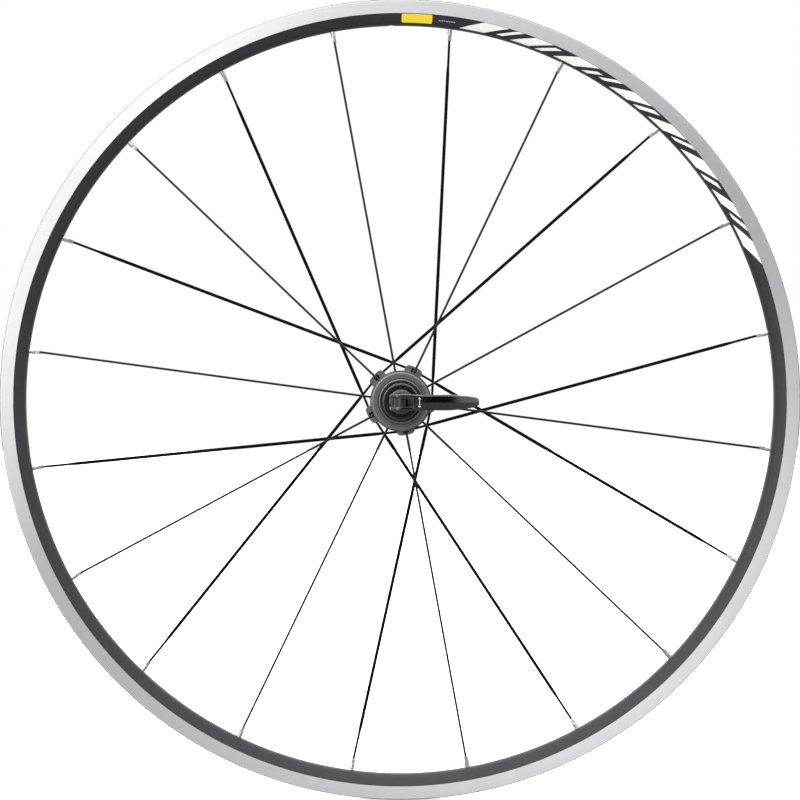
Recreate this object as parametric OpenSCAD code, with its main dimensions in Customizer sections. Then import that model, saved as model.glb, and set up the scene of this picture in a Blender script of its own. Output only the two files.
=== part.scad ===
// Bicycle rear wheel with a quick-release skewer, without tyre or cassette.
// The axle lies along Y: +Y is the drive side, -Y the side of the quick-release lever.
// The origin is the wheel centre, +Z is up, and angles around the wheel run from +X towards +Z.

/* [Rim] */
// Outer radius of the rim, at its hooked edge
rim_r = 317; // [311:0.5:330]
// Radial height of the rim from hooked edge to spoke face
rim_height = 20.6; // [20.5:0.1:24]
// Width across the two brake tracks
rim_w = 20.4; // [20:0.1:22]
// Radial height of each brake track
track_h = 9.5; // [8.5:0.1:10]
// Radius of the valve hole
valve_hole_r = 3.25; // [3:0.05:3.5]
// Angle of the valve hole around the wheel
valve_at = 91.4; // [88:0.1:95]

/* [Lacing] */
// Spokes on each side
side_spokes = 10; // [10:10:10]
// Angle of the first right-hand spoke boss
boss_at = 64.4; // [60:0.1:70]
// Distance from the axle centre to each right-hand spoke
spoke_offset = 25.5; // [25:0.1:26]
// Radius of the left spokes, which are plain round wire
left_spoke_r = 0.9; // [0.8:0.05:1]
// Radius of the round ends of the right spokes
neck_r = 0.95; // [0.8:0.05:1]
// Width of the flattened middle of the right spokes
blade_w = 2.35; // [2.1:0.05:2.6]
// Thickness of the flattened middle of the right spokes
blade_t = 1.2; // [0.9:0.05:1.4]

/* [Hub] */
// Distance between the two faces that the frame's dropouts clamp
over_locknuts = 130; // [130:0.5:135]
// How far each axle end reaches past its clamped face
axle_stub = 5; // [4.5:0.1:5]
// Radius of the axle ends
axle_end_r = 4.95; // [4.8:0.01:4.95]
// Middle plane of the left flange
left_flange_y = -36; // [-37:0.1:-35]
// Middle plane of the right flange
right_flange_y = 18.5; // [18:0.1:19]
// Outer radius of the left flange
left_flange_r = 24.1; // [23.4:0.1:24.5]
// Outer radius of the right-hand spoke bosses
boss_r = 28.7; // [28:0.1:29]
// Half the distance along the axle between right-hand spokes that cross
cross_gap = 1.03; // [1.02:0.01:1.1]

/* [Ratchet] */
// Teeth in the freehub's ratchet ring
teeth = 24; // [24:24:24]

/* [Quick release] */
// Thickness of the dropout that each end clamps
dropout_t = 6.5; // [6.5:0.1:7]
// Radius of the skewer rod
rod_r = 2.5; // [2.4:0.05:2.5]
// Travel that the cam gives the skewer
cam_throw = 2.4; // [2:0.1:2.5]
// Reach of the lever from the cam barrel to its tip
lever_reach = 60.7; // [58:0.1:64]

/* [Hidden] */
$fn = 96;

fit = 0.02;                             // gap between pieces pressed or threaded together
face_y = over_locknuts / 2;             // plane of each dropout face
axle_y = face_y + axle_stub;            // plane of each axle end
clamp_y = face_y + dropout_t;           // plane of each serrated clamping face

// Rim levels
seat_r = rim_r - rim_height + 2.4;      // where the nipple heads bear
floor_arc = rim_height - 12.9;          // radius of the rounded spoke face
arc_at = rim_r - rim_height + floor_arc;
well_r = rim_r - 9.4;                   // bottom of the tyre well
bead_r = rim_r - 6;                     // bead seat
half_w = rim_w / 2;

// Lacing
left_foot_r = 20;
left_step = 360 / side_spokes;
left_at = boss_at - 36;
left_tilt = atan(-left_flange_y / (seat_r - left_foot_r));
left_seat = norm([seat_r - left_foot_r, left_flange_y]);
right_run = sqrt(seat_r * seat_r - spoke_offset * spoke_offset);
function right_foot_y(side) = right_flange_y + side * cross_gap;
function right_seat(side) = norm([right_run, right_foot_y(side)]);
foot_turn = 90 - acos(spoke_offset / seat_r);
bosses = side_spokes / 2;

// Bearings: 12 x 24 x 6 mm, placed by the plane of their left face
bearing_w = 6;
bearing_bore = 6;
bearing_or = 12;
ball_r = 1.6;
ball_pitch_r = 9;
balls = 10;
left_bearing_y = -46;
right_bearing_y = 13;
freehub_bearing_y = 47;

// Freehub
stub_r = 11.6;
journal_r = 10;
tooth_tip_r = 12.2;
tooth_root_r = 13.6;
tooth_face = 62.2;
face_slant = 4.95;                      // the drive faces follow the arc of a pawl's nose
tooth_land = 0.8;
ring_r = 14.9;
pawl_pivot = [0, 10.2];
pawl_barrel_r = 1.35;

// Quick release
barrel_r = 5.4;
cup_r = 9.6;
cup_t = 5;
recess_r = 8;
recess_h = 3.4;
bites = 24;
bite_h = 0.4;
saddle_r = 8.3;
saddle_t = 1.9;
cam_r = 10.3;
saddle_y = -(clamp_y + cup_t + 0.1 + saddle_t);
barrel_y = saddle_y - cam_r - 0.05;
leg_in = 3.3;
leg_out = 6.5;
wire_r = 0.35;

// A half outline given from the middle outwards, completed by its mirror image
function both(half) = concat(half, [for (i = [len(half) - 1:-1:0]) [half[i][0], -half[i][1]]]);

// Points on an arc about [x, y], angles in degrees
function arc(x, y, r, from, to, steps = 6) =
    [for (i = [0:steps]) let (a = from + (to - from) * i / steps) [x + r * cos(a), y + r * sin(a)]];

function polar(r, a) = [r * cos(a), r * sin(a)];

// Turns an outline of [radius, y] points about the axle
module turned(points) {
    rotate([-90, 0, 0]) rotate_extrude() polygon(points);
}

// A plain ring about the axle
module ring(r_in, r_out, from, to) {
    turned([[r_in, from], [r_out, from], [r_out, to], [r_in, to]]);
}

// Extrudes a drawing in the wheel's plane between two planes along the axle
module plate(from, to) {
    translate([0, to, 0]) rotate([90, 0, 0]) linear_extrude(to - from) children();
}

// Turns a child so that its +X points outwards at an angle around the wheel
module at_angle(a) {
    rotate([0, -a, 0]) children();
}

// Runs a round bar along +X
module bar(r, from, to) {
    translate([from, 0, 0]) rotate([0, 90, 0]) cylinder(r = r, h = to - from, $fn = 48);
}

// Puts a child at every left spoke, its +X along the spoke from the hub outwards
module each_left_spoke() {
    for (i = [0:side_spokes - 1])
        at_angle(left_at + left_step * i)
            translate([left_foot_r, left_flange_y, 0])
                rotate([0, 0, left_tilt]) children();
}

// Puts a child at the right spokes that leave their bosses on one side, +1 or -1
module each_right_spoke(side) {
    for (i = [0:bosses - 1])
        at_angle(boss_at + 360 / bosses * i + side * foot_turn)
            translate([spoke_offset, right_foot_y(side), 0])
                rotate([0, -90 * side, 0])
                    rotate([0, 0, -atan(right_foot_y(side) / right_run)]) children();
}

module rim() {
    outline = both(concat(
        arc(arc_at, 0, floor_arc, 168, 117),
        [[rim_r - 1.2 - track_h - 0.2, half_w - 0.3], [rim_r - 1.2 - track_h, half_w],
            [rim_r - 1.2, half_w]],
        arc(rim_r - 0.9, half_w - 0.9, 0.9, 75, 15, 3),
        [[rim_r - 0.4, half_w - 2], [rim_r - 1.6, half_w - 2.5], [rim_r - 3.2, half_w - 1.7],
            [bead_r, half_w - 1.7], [bead_r, 5.6], [well_r + 0.2, 3]]));
    cavity = both(concat(
        arc(arc_at, 0, floor_arc - 1.9, 170, 117),
        [[rim_r - 11, half_w - 2], [rim_r - 7.8, half_w - 1.7], [rim_r - 7.8, 6.4],
            [well_r - 1.2, 3.2]]));
    color([0.09, 0.09, 0.1]) difference() {
        rotate([-90, 0, 0]) rotate_extrude() difference() {
            polygon(outline);
            polygon(cavity);
        }
        each_left_spoke() bar(2.15, left_seat - 8, left_seat + 3);
        for (side = [1, -1])
            each_right_spoke(side) bar(2.15, right_seat(side) - 8, right_seat(side) + 3);
        for (i = [0:2 * side_spokes - 1])
            at_angle(left_at + 180 / side_spokes * i) bar(4, well_r - 4, well_r + 3);
        at_angle(valve_at) bar(valve_hole_r, rim_r - 30, rim_r);
    }
}

module rim_joint_sleeve() {
    span = 11;
    outline = both(concat(arc(arc_at, 0, floor_arc - 2.3, 170, 117),
        [[rim_r - 11.1, half_w - 2.4], [well_r - 1.5, 2.9]]));
    color("silver") at_angle(valve_at + 180 + span / 2)
        rotate([-90, 0, 0]) rotate_extrude(angle = span) polygon(outline);
}

module rim_tape() {
    tape = 0.5;
    lower = [[bead_r + 0.05, -8.3], [bead_r + 0.05, -5.6], [well_r + 0.3, -3], [well_r + 0.3, 3],
        [bead_r + 0.05, 5.6], [bead_r + 0.05, 8.3]];
    upper = [for (i = [len(lower) - 1:-1:0]) lower[i] + [tape, 0]];
    color("gold") difference() {
        turned(concat(lower, upper));
        at_angle(valve_at) bar(valve_hole_r + 0.3, well_r - 3, rim_r);
    }
}

module left_spokes() {
    color([0.35, 0.35, 0.36]) each_left_spoke() {
        bar(1.7, -1.6, -0.2);
        bar(left_spoke_r, -0.3, left_seat + 1);
    }
}

// A spoke with a round head and neck, a flattened middle and a round threaded end
module bladed_spoke(seat) {
    bulge = (blade_w * blade_w + blade_t * blade_t) / (4 * blade_t);
    blade_from = 14;
    blade_to = seat - 30;
    bar(1.6, -1.7, -0.2);
    bar(neck_r, -0.3, blade_from + 2);
    bar(neck_r, blade_to - 2, seat + 1);
    translate([blade_from, 0, 0]) rotate([0, 90, 0]) linear_extrude(blade_to - blade_from)
        intersection() {
            translate([0, bulge - blade_t / 2]) circle(r = bulge);
            translate([0, blade_t / 2 - bulge]) circle(r = bulge);
        }
}

module leading_spokes() {
    color([0.08, 0.08, 0.08]) each_right_spoke(1) bladed_spoke(right_seat(1));
}

module trailing_spokes() {
    color([0.08, 0.08, 0.08]) each_right_spoke(-1) bladed_spoke(right_seat(-1));
}

// A nipple whose head bears on the rim at +X = seat, with square flats at its inner end
module nipple(seat) {
    flats_w = 3.25;
    difference() {
        union() {
            translate([seat - 7.2, 0, 0]) rotate([0, 90, 0]) rotate_extrude($fn = 48)
                polygon([[0, 0], [2, 0.6], [2, 7.2], [2.05, 7.2], [2.9, 8.1], [2.9, 10], [2.2, 10.7],
                    [0, 10.7]]);
            translate([seat - 11.2, -flats_w / 2, -flats_w / 2]) cube([5, flats_w, flats_w]);
        }
        bar(1.02, seat - 12, seat + 5);
    }
}

module left_nipples() {
    color("silver") each_left_spoke() nipple(left_seat);
}

module right_nipples() {
    color("silver") for (side = [1, -1]) each_right_spoke(side) nipple(right_seat(side));
}

// One of the right-hand spoke bosses, drawn with its middle along +X
module boss_outline() {
    intersection() {
        circle(r = boss_r);
        polygon([[14, -7.3], [26.4, -7.1], [28.2, -5.6], [31, -5.6], [31, 5.6], [28.2, 5.6],
            [26.4, 7.1], [14, 7.3]]);
    }
}

// Room for a pawl at rest and pressed in, drawn for a pawl at the top of the hub
module pawl_pocket() {
    translate(pawl_pivot) circle(r = pawl_barrel_r + 0.05, $fn = 48);
    polygon([[0, 8.8], [5.3, 8.2], [7, 8.9], [7.3, 10.2], [7.3, 13], [0, 13]]);
}

module hub_shell() {
    nose_r = 17.3;
    gallery = left_foot_r + 0.2;
    lf = left_flange_y;
    rf = right_flange_y;
    bore = bearing_or + fit;
    color([0.3, 0.3, 0.31]) difference() {
        union() {
            turned([[15.9, -52], [nose_r - 0.3, -52], [nose_r, -51.7], [nose_r, lf + 2.1],
                [gallery, lf + 2.1], [gallery, lf - 3.5], [left_flange_r - 0.7, lf - 3.5],
                [left_flange_r, lf - 2.8], [left_flange_r, lf + 2.8], [left_flange_r - 0.7, lf + 3.5],
                [19.5, lf + 4.4], [16, lf + 7], [14.4, lf + 11], [14, lf + 18], [14.2, rf - 18],
                [15.2, rf - 11], [17.8, rf - 6.5], [21.3, rf - 4], [22, rf - 3.3], [22, rf + 3.5],
                [21.5, rf + 4], [stub_r, rf + 4], [stub_r, 31], [journal_r, 31.4], [journal_r, 40],
                [7.8, 40], [7.8, right_bearing_y + bearing_w], [bore, right_bearing_y + bearing_w],
                [bore, left_bearing_y], [15.9, left_bearing_y]]);
            plate(rf - 3.2, rf + 3.45) for (i = [0:bosses - 1]) rotate(boss_at + 360 / bosses * i)
                difference() {
                    boss_outline();
                    circle(r = 16);
                }
        }
        each_left_spoke() bar(1.05, -1, 8);
        for (side = [1, -1]) each_right_spoke(side) bar(1.1, -3, 10);
        for (i = [0:bosses - 1]) at_angle(boss_at + 360 / bosses * i)
            translate([23.3, rf - 4, -2.2]) cube([3.9, 6.7, 4.4]);
        plate(24.5, 30.6) for (a = [0, 180]) rotate(a) pawl_pocket();
    }
}

module left_flange_cap() {
    y = left_flange_y;
    color([0.45, 0.45, 0.46]) turned([[17.5, y - 3.9], [17.8, y - 4.2], [21.7, y - 5.3],
        [22.4, y - 5.1], [22.6, y - 4.6], [22.6, y - 3.55], [20, y - 3.55], [20, y - 2.45],
        [17.5, y - 2.45]]);
}

module freehub_seal() {
    color([0.1, 0.1, 0.1]) turned([[stub_r + 0.1, 22.6], [16.6, 22.6], [16.6, 23.4], [14, 24.2],
        [14, 24.8], [13, 24.8], [13, 23.6], [stub_r + 0.1, 23.6]]);
}

// A pawl at the top of the hub, pointing clockwise
module pawl_outline() {
    polygon(concat(arc(pawl_pivot[0], pawl_pivot[1], pawl_barrel_r, 90, 270, 24),
        [[5.2, 10], [5.59, 10.73], [6.2, 11.9], [3.6, 11.4]]));
}

module pawl_1() {
    color("silver") plate(25, 30.2) pawl_outline();
}

module pawl_2() {
    color("silver") plate(25, 30.2) rotate(180) pawl_outline();
}

module pawl_springs() {
    color("silver") plate(27, 28.6) for (a = [0, 180]) rotate(a)
        polygon([[1, 8.8], [4.8, 9.4], [4.8, 9.65], [1, 9.03]]);
}

module axle() {
    r = bearing_bore - fit;
    color("silver") turned([[rod_r + 0.3, -axle_y], [axle_end_r - 0.3, -axle_y],
        [axle_end_r, 0.3 - axle_y], [axle_end_r, -face_y + 0.3], [r, -face_y + 0.6],
        [r, left_bearing_y + bearing_w + fit], [7.2, left_bearing_y + bearing_w + fit],
        [7.2, right_bearing_y - fit], [r, right_bearing_y - fit], [r, face_y - 0.6],
        [axle_end_r, face_y - 0.3], [axle_end_r, axle_y - 0.3], [axle_end_r - 0.3, axle_y],
        [rod_r + 0.3, axle_y]]);
}

module axle_spacer() {
    color("silver") ring(bearing_bore + fit, 7.4, right_bearing_y + bearing_w + fit,
        freehub_bearing_y - fit);
}

module left_locknut() {
    y = left_bearing_y - fit;
    color([0.12, 0.12, 0.12]) turned([[bearing_bore + fit, y], [7.6, y], [7.6, y - 1.4],
        [13, y - 2.6], [14.2, y - 3.4], [14.2, y - 6.5], [13.6, y - 7.6], [13.6, 0.5 - face_y],
        [13.1, -face_y], [bearing_bore + fit, -face_y]]);
}

module right_locknut() {
    y = freehub_bearing_y + bearing_w + fit;
    color([0.12, 0.12, 0.12]) turned([[bearing_bore + fit, y], [7.6, y], [7.6, y + 1.2],
        [9.2, y + 2.2], [9.2, face_y - 0.4], [8.8, face_y], [bearing_bore + fit, face_y]]);
}

// The circle that both races follow, in a section through a bearing
module race_groove() {
    translate([ball_pitch_r, bearing_w / 2]) circle(r = ball_r + 0.04, $fn = 48);
}

module bearing_ring(y, r_in, r_out) {
    color("silver") translate([0, y, 0]) rotate([-90, 0, 0]) rotate_extrude() difference() {
        polygon([[r_in + 0.3, 0], [r_out - 0.3, 0], [r_out, 0.3], [r_out, bearing_w - 0.3],
            [r_out - 0.3, bearing_w], [r_in + 0.3, bearing_w], [r_in, bearing_w - 0.3], [r_in, 0.3]]);
        race_groove();
    }
}

module bearing_balls(y) {
    color("white") for (i = [0:balls - 1])
        rotate([0, 360 / balls * i, 0]) translate([ball_pitch_r, y + bearing_w / 2, 0])
            sphere(r = ball_r, $fn = 48);
}

module bearing_cage(y) {
    color("peru") difference() {
        ring(ball_pitch_r - 0.5, ball_pitch_r + 0.5, y + 0.9, y + bearing_w - 0.9);
        for (i = [0:balls - 1])
            rotate([0, 360 / balls * i, 0]) translate([ball_pitch_r - 1, y + bearing_w / 2, 0])
                rotate([0, 90, 0]) cylinder(r = ball_r + 0.05, h = 2, $fn = 48);
    }
}

module bearing_shields(y) {
    color([0.1, 0.1, 0.1]) {
        ring(8.1, 9.95, y + 0.3, y + 0.6);
        ring(8.1, 9.95, y + bearing_w - 0.6, y + bearing_w - 0.3);
    }
}

module left_bearing_outer_ring() { bearing_ring(left_bearing_y, 10.1, bearing_or); }
module left_bearing_inner_ring() { bearing_ring(left_bearing_y, bearing_bore, 7.9); }
module left_bearing_balls() { bearing_balls(left_bearing_y); }
module left_bearing_cage() { bearing_cage(left_bearing_y); }
module left_bearing_shields() { bearing_shields(left_bearing_y); }
module right_bearing_outer_ring() { bearing_ring(right_bearing_y, 10.1, bearing_or); }
module right_bearing_inner_ring() { bearing_ring(right_bearing_y, bearing_bore, 7.9); }
module right_bearing_balls() { bearing_balls(right_bearing_y); }
module right_bearing_cage() { bearing_cage(right_bearing_y); }
module right_bearing_shields() { bearing_shields(right_bearing_y); }
module freehub_bearing_outer_ring() { bearing_ring(freehub_bearing_y, 10.1, bearing_or); }
module freehub_bearing_inner_ring() { bearing_ring(freehub_bearing_y, bearing_bore, 7.9); }
module freehub_bearing_balls() { bearing_balls(freehub_bearing_y); }
module freehub_bearing_cage() { bearing_cage(freehub_bearing_y); }
module freehub_bearing_shields() { bearing_shields(freehub_bearing_y); }

module freehub_body() {
    splines = 9;
    spline_r = 17.3;
    groove_r = 16;
    bush_r = journal_r + 1.32;
    bore = bearing_or + fit;
    color([0.35, 0.35, 0.37]) difference() {
        union() {
            ring(15.5, 18.2, 25, 27);
            plate(27, 62) difference() {
                circle(r = spline_r);
                for (i = [0:splines - 1]) rotate(360 / splines * i)
                    translate([groove_r, i == 0 ? -4.2 : -3]) square([3, i == 0 ? 8.4 : 6]);
            }
        }
        turned([[0, 24], [ring_r + fit, 24], [ring_r + fit, 32], [bush_r, 32.4], [bush_r, 40.2],
            [10.8, 40.6], [10.8, 46.98], [bore, 46.98], [bore, 53], [12.4, 53.4], [12.4, 54],
            [14.75, 54], [14.75, 63], [0, 63]]);
    }
}

module ratchet_ring() {
    pitch = 360 / teeth;
    color("dimgray") plate(25.2, 31.4) difference() {
        circle(r = ring_r);
        polygon([for (i = [0:teeth - 1], p = [[tooth_root_r, 0],
            [tooth_tip_r, pitch - face_slant - tooth_land], [tooth_tip_r, pitch - face_slant]])
            polar(p[0], tooth_face + pitch * i + p[1])]);
    }
}

module freehub_bushing() {
    color("peru") ring(journal_r + 0.04, journal_r + 1.3, 33, 39.6);
}

// The ring of radial teeth that bites into a dropout, between two planes along the axle
module bite_teeth(from, to) {
    gap_w = 0.9;
    plate(from, to) difference() {
        circle(r = cup_r);
        circle(r = recess_r);
        for (i = [0:bites - 1]) rotate(360 / bites * i)
            translate([recess_r - 1, -gap_w / 2]) square([4, gap_w]);
    }
}

module end_cup() {
    y = -clamp_y;
    color([0.2, 0.2, 0.2]) {
        turned([[rod_r + 0.2, y - cup_t], [cup_r - 0.9, y - cup_t], [cup_r, y - cup_t + 0.9],
            [cup_r, y - bite_h], [recess_r, y - bite_h], [recess_r, y - recess_h],
            [rod_r + 0.2, y - recess_h]]);
        bite_teeth(y - bite_h, y);
    }
}

module cam_saddle() {
    color([0.3, 0.3, 0.3]) turned([[rod_r + 0.2, saddle_y], [saddle_r - 0.5, saddle_y],
        [saddle_r, saddle_y + 0.5], [saddle_r, saddle_y + saddle_t], [rod_r + 0.2, saddle_y + saddle_t]]);
}

module skewer_rod() {
    color("silver") ring(0, rod_r, barrel_y - 2.5, clamp_y + 14.5);
}

module cam_barrel() {
    color([0.4, 0.4, 0.4]) difference() {
        translate([0, barrel_y, -leg_out + 0.3]) cylinder(r = barrel_r, h = 2 * leg_out - 0.6);
        ring(0, rod_r + fit, barrel_y - 2.5 - fit, barrel_y + 10);
    }
}

// Half the lever seen along the axle: [along the lever, half width]
lever_plan = [[-9.3, 4.9], [-8.9, 6.1], [-7.8, leg_out], [5, leg_out], [12, 6.1], [25, 6], [36, 6.1],
    [44.5, 5.6], [lever_reach - 9, 4.8], [lever_reach - 4.5, 4], [lever_reach - 1.8, 2.9],
    [lever_reach - 0.5, 1.6], [lever_reach, 0.6]];

// The lever seen along the cam barrel: a spiral cam round the barrel, then the arm, which curves
// back towards the wheel at its tip
function cam_point(a) = polar(cam_r - cam_throw * (a - 90) / 180, a);
lever_side = concat(
    [[8.2, 6.4]],
    arc(0, 0, cam_r, 62, 80, 3),
    [for (i = [0:18]) cam_point(90 + 10 * i)],
    [[8, -7.9], [20, -8.2], [32, -7.3], [43, -4.6], [lever_reach - 9, -0.3],
        [lever_reach - 2, 6], [lever_reach, 9]],
    [[lever_reach - 1.5, 10.2], [lever_reach - 7, 6.4], [45, 1.6], [33, -1.4], [20, -1.8], [12, 0.8]]);

module lever() {
    color([0.05, 0.05, 0.05]) translate([0, barrel_y, 0]) difference() {
        intersection() {
            translate([0, 0, -10]) linear_extrude(20) polygon(lever_side);
            translate([0, 20, 0]) rotate([90, 0, 0]) linear_extrude(40) polygon(both(lever_plan));
        }
        translate([0, 0, -10]) cylinder(r = barrel_r + fit, h = 20);
        translate([-12, -20, -leg_in]) cube([21, 40, 2 * leg_in]);
    }
}

// A conical spring about the rod, from a small turn at the axle to a wide one in its recess
function coil_r(t) = t < 0.25 ? 3.9 : 3.9 + 3.3 * (t - 0.25) / 0.75;
module cone_spring(from, to) {
    turns = 4;
    steps = 20;
    sides = 6;
    count = turns * steps;
    points = [for (i = [0:count], k = [0:sides - 1])
        let (t = i / count, a = 360 * turns * t, b = 360 / sides * k, r = coil_r(t) + wire_r * cos(b))
            [r * cos(a), from + (to - from) * t + wire_r * sin(b), r * sin(a)]];
    walls = [for (i = [0:count - 1], k = [0:sides - 1]) let (n = (k + 1) % sides)
        [i * sides + k, i * sides + n, (i + 1) * sides + n, (i + 1) * sides + k]];
    ends = [[for (k = [sides - 1:-1:0]) k], [for (k = [0:sides - 1]) count * sides + k]];
    faces = concat(walls, ends);
    color("silver") polyhedron(points,
        to > from ? [for (f = faces) [for (j = [len(f) - 1:-1:0]) f[j]]] : faces);
}

module left_cone_spring() {
    cone_spring(-(axle_y + wire_r + 0.02), -(clamp_y + recess_h - wire_r - 0.02));
}

module right_cone_spring() {
    cone_spring(axle_y + wire_r + 0.02, clamp_y + recess_h - wire_r - 0.02);
}

module skewer_nut() {
    y = clamp_y;
    color([0.1, 0.1, 0.1]) difference() {
        union() {
            turned([[rod_r + fit, y + recess_h], [recess_r, y + recess_h], [recess_r, y + 2.02],
                [cup_r, y + 2.02], [cup_r, y + 3.4], [8.4, y + 5], [7.6, y + 12.2], [6.8, y + 13], [rod_r + fit, y + 13]]);
            plate(y + 3.4, y + 11.5) for (i = [0:5]) rotate(60 * i) translate([7.2, 0]) circle(r = 1.9);
        }
        ring(0, 4.6, y + 9.5, y + 13.5);
    }
}

module nut_serrated_ring() {
    y = clamp_y;
    color("silver") {
        ring(recess_r + 0.05, cup_r, y + bite_h, y + 2);
        bite_teeth(y, y + bite_h);
    }
}

module nut_lock_insert() {
    color("white") ring(rod_r + fit, 4.6 - fit, clamp_y + 9.6, clamp_y + 12.8);
}

rim();
rim_joint_sleeve();
rim_tape();
left_spokes();
leading_spokes();
trailing_spokes();
left_nipples();
right_nipples();
hub_shell();
left_flange_cap();
freehub_seal();
pawl_springs();
pawl_1();
pawl_2();
axle();
axle_spacer();
left_locknut();
right_locknut();
left_bearing_outer_ring();
left_bearing_inner_ring();
left_bearing_balls();
left_bearing_cage();
left_bearing_shields();
right_bearing_outer_ring();
right_bearing_inner_ring();
right_bearing_balls();
right_bearing_cage();
right_bearing_shields();
freehub_bearing_outer_ring();
freehub_bearing_inner_ring();
freehub_bearing_balls();
freehub_bearing_cage();
freehub_bearing_shields();
freehub_body();
ratchet_ring();
freehub_bushing();
end_cup();
cam_saddle();
skewer_rod();
cam_barrel();
lever();
left_cone_spring();
right_cone_spring();
skewer_nut();
nut_serrated_ring();
nut_lock_insert();
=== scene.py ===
"""Bicycle rear wheel with a quick-release skewer: its visible surfaces and a studio stage."""

import math
from contextlib import contextmanager

import bmesh
import bpy
from mathutils import Matrix, Vector


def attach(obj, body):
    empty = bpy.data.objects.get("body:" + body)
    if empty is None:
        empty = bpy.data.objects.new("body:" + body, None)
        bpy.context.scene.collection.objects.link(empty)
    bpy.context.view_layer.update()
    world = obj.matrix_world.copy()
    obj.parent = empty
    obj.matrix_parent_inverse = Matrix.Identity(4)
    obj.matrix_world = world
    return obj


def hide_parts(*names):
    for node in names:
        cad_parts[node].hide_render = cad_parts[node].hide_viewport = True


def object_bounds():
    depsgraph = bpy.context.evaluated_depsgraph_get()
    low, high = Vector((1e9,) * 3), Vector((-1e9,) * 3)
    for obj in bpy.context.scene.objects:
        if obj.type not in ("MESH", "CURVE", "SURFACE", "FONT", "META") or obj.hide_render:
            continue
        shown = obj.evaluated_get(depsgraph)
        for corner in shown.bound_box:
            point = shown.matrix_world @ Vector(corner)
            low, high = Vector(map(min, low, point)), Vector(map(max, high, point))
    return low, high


bl_info = {
    "name": "Quick-Release Rear Wheel",
    "version": (1, 0, 0),
    "blender": (4, 5, 0),
    "location": "View3D > Sidebar > Wheel",
    "description": "Builds a bicycle rear wheel with its rim, spokes, hub and quick-release skewer",
    "category": "Add Mesh",
}

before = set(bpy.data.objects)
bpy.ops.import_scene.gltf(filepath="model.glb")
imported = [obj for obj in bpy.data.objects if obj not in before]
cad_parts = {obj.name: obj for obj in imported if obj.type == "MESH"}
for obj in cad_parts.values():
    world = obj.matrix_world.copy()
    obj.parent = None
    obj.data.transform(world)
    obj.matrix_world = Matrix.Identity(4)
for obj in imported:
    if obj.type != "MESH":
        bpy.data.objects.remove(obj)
CAD_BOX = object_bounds()
MM = 0.001
SHARP = 32.0  # degrees between faces at which shading breaks


# ---------------------------------------------------------------- settings

def length(name, description, mm):
    """A size in metres whose default is given in millimetres."""
    return bpy.props.FloatProperty(
        name=name, description=description, default=mm * MM, min=0.0, precision=5, unit="LENGTH"
    )


def turn_angle(name, description, degrees):
    """An angle around the wheel, from +X towards +Z."""
    return bpy.props.FloatProperty(
        name=name, description=description, default=math.radians(degrees), subtype="ANGLE"
    )


def colour(name, description, *rgb):
    """A surface colour in linear light."""
    return bpy.props.FloatVectorProperty(
        name=name, description=description, default=rgb, size=3, min=0.0, max=1.0, subtype="COLOR"
    )


class RimSettings(bpy.types.PropertyGroup):
    """Sizes and colours of the rim, its labels and its tape."""

    radius: length("Radius", "Outer radius of the hooked edge", 317.0)
    height: length("Height", "Radial height from the hooked edge to the spoke face", 20.6)
    width: length("Width", "Width across the two brake tracks", 20.4)
    track: length("Track height", "Radial height of each brake track", 9.5)
    valve_radius: length("Valve hole radius", "Radius of the valve hole", 3.25)
    valve_angle: turn_angle("Valve angle", "Place of the valve hole around the rim", 91.4)
    segments: bpy.props.IntProperty(
        name="Segments", description="Facets around the rim", default=480, min=96, max=720
    )
    black: colour("Anodising", "Black anodised aluminium", 0.026, 0.026, 0.028)
    track_metal: colour("Track", "Machined brake track", 0.74, 0.74, 0.75)
    label: colour("Label", "Yellow label beside the valve", 0.98, 0.72, 0.03)
    stripe: colour("Stripes", "White slanted stripes", 0.95, 0.95, 0.94)
    tape: colour("Tape", "Woven rim tape", 0.62, 0.42, 0.05)


class LacingSettings(bpy.types.PropertyGroup):
    """Sizes and colours of the spokes and nipples."""

    per_side: bpy.props.IntProperty(
        name="Spokes per side", description="Spokes on each side of the hub", default=10, min=2
    )
    boss_angle: turn_angle("Boss angle", "Angle of the first right-hand spoke boss", 64.4)
    offset: length("Spoke offset", "Distance of a right-hand spoke from the axle centre", 25.5)
    cross_gap: length("Crossing gap", "Half the axial distance between crossing spokes", 1.03)
    left_radius: length("Left spoke radius", "Radius of the round left spokes", 0.9)
    neck_radius: length("Neck radius", "Radius of the round ends of the right spokes", 0.95)
    blade_width: length("Blade width", "Width of the flattened right spokes", 2.6)
    blade_thickness: length("Blade thickness", "Thickness of the flattened spokes", 1.2)
    left_wire: colour("Left wire", "Grey drawn wire", 0.013, 0.013, 0.0135)
    right_wire: colour("Right wire", "Black oxide on flattened wire", 0.004, 0.004, 0.0045)
    nipple: colour("Nipples", "Silver anodised nipples", 0.50, 0.50, 0.51)


class HubSettings(bpy.types.PropertyGroup):
    """Sizes and colours of the hub, its cap, locknuts and freehub."""

    left_flange: length("Left flange distance", "Left flange plane from the wheel's middle", 36.0)
    right_flange: length("Right flange distance", "Right flange plane from the middle", 18.5)
    flange_radius: length("Left flange radius", "Outer radius of the left flange", 24.1)
    boss_radius: length("Boss radius", "Outer radius of the spoke bosses", 28.7)
    over_locknuts: length("Over locknuts", "Distance between the clamped faces", 130.0)
    shell: colour("Shell", "Bead-blasted grey anodising", 0.155, 0.155, 0.160)
    cap: colour("Cap", "Satin grey flange cap", 0.20, 0.20, 0.203)
    locknut: colour("Locknuts", "Black anodised locknuts", 0.008, 0.008, 0.009)
    freehub: colour("Freehub", "Grey hard-anodised splines", 0.20, 0.20, 0.195)
    seal: colour("Seal", "Black rubber seal", 0.020, 0.020, 0.020)


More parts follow.
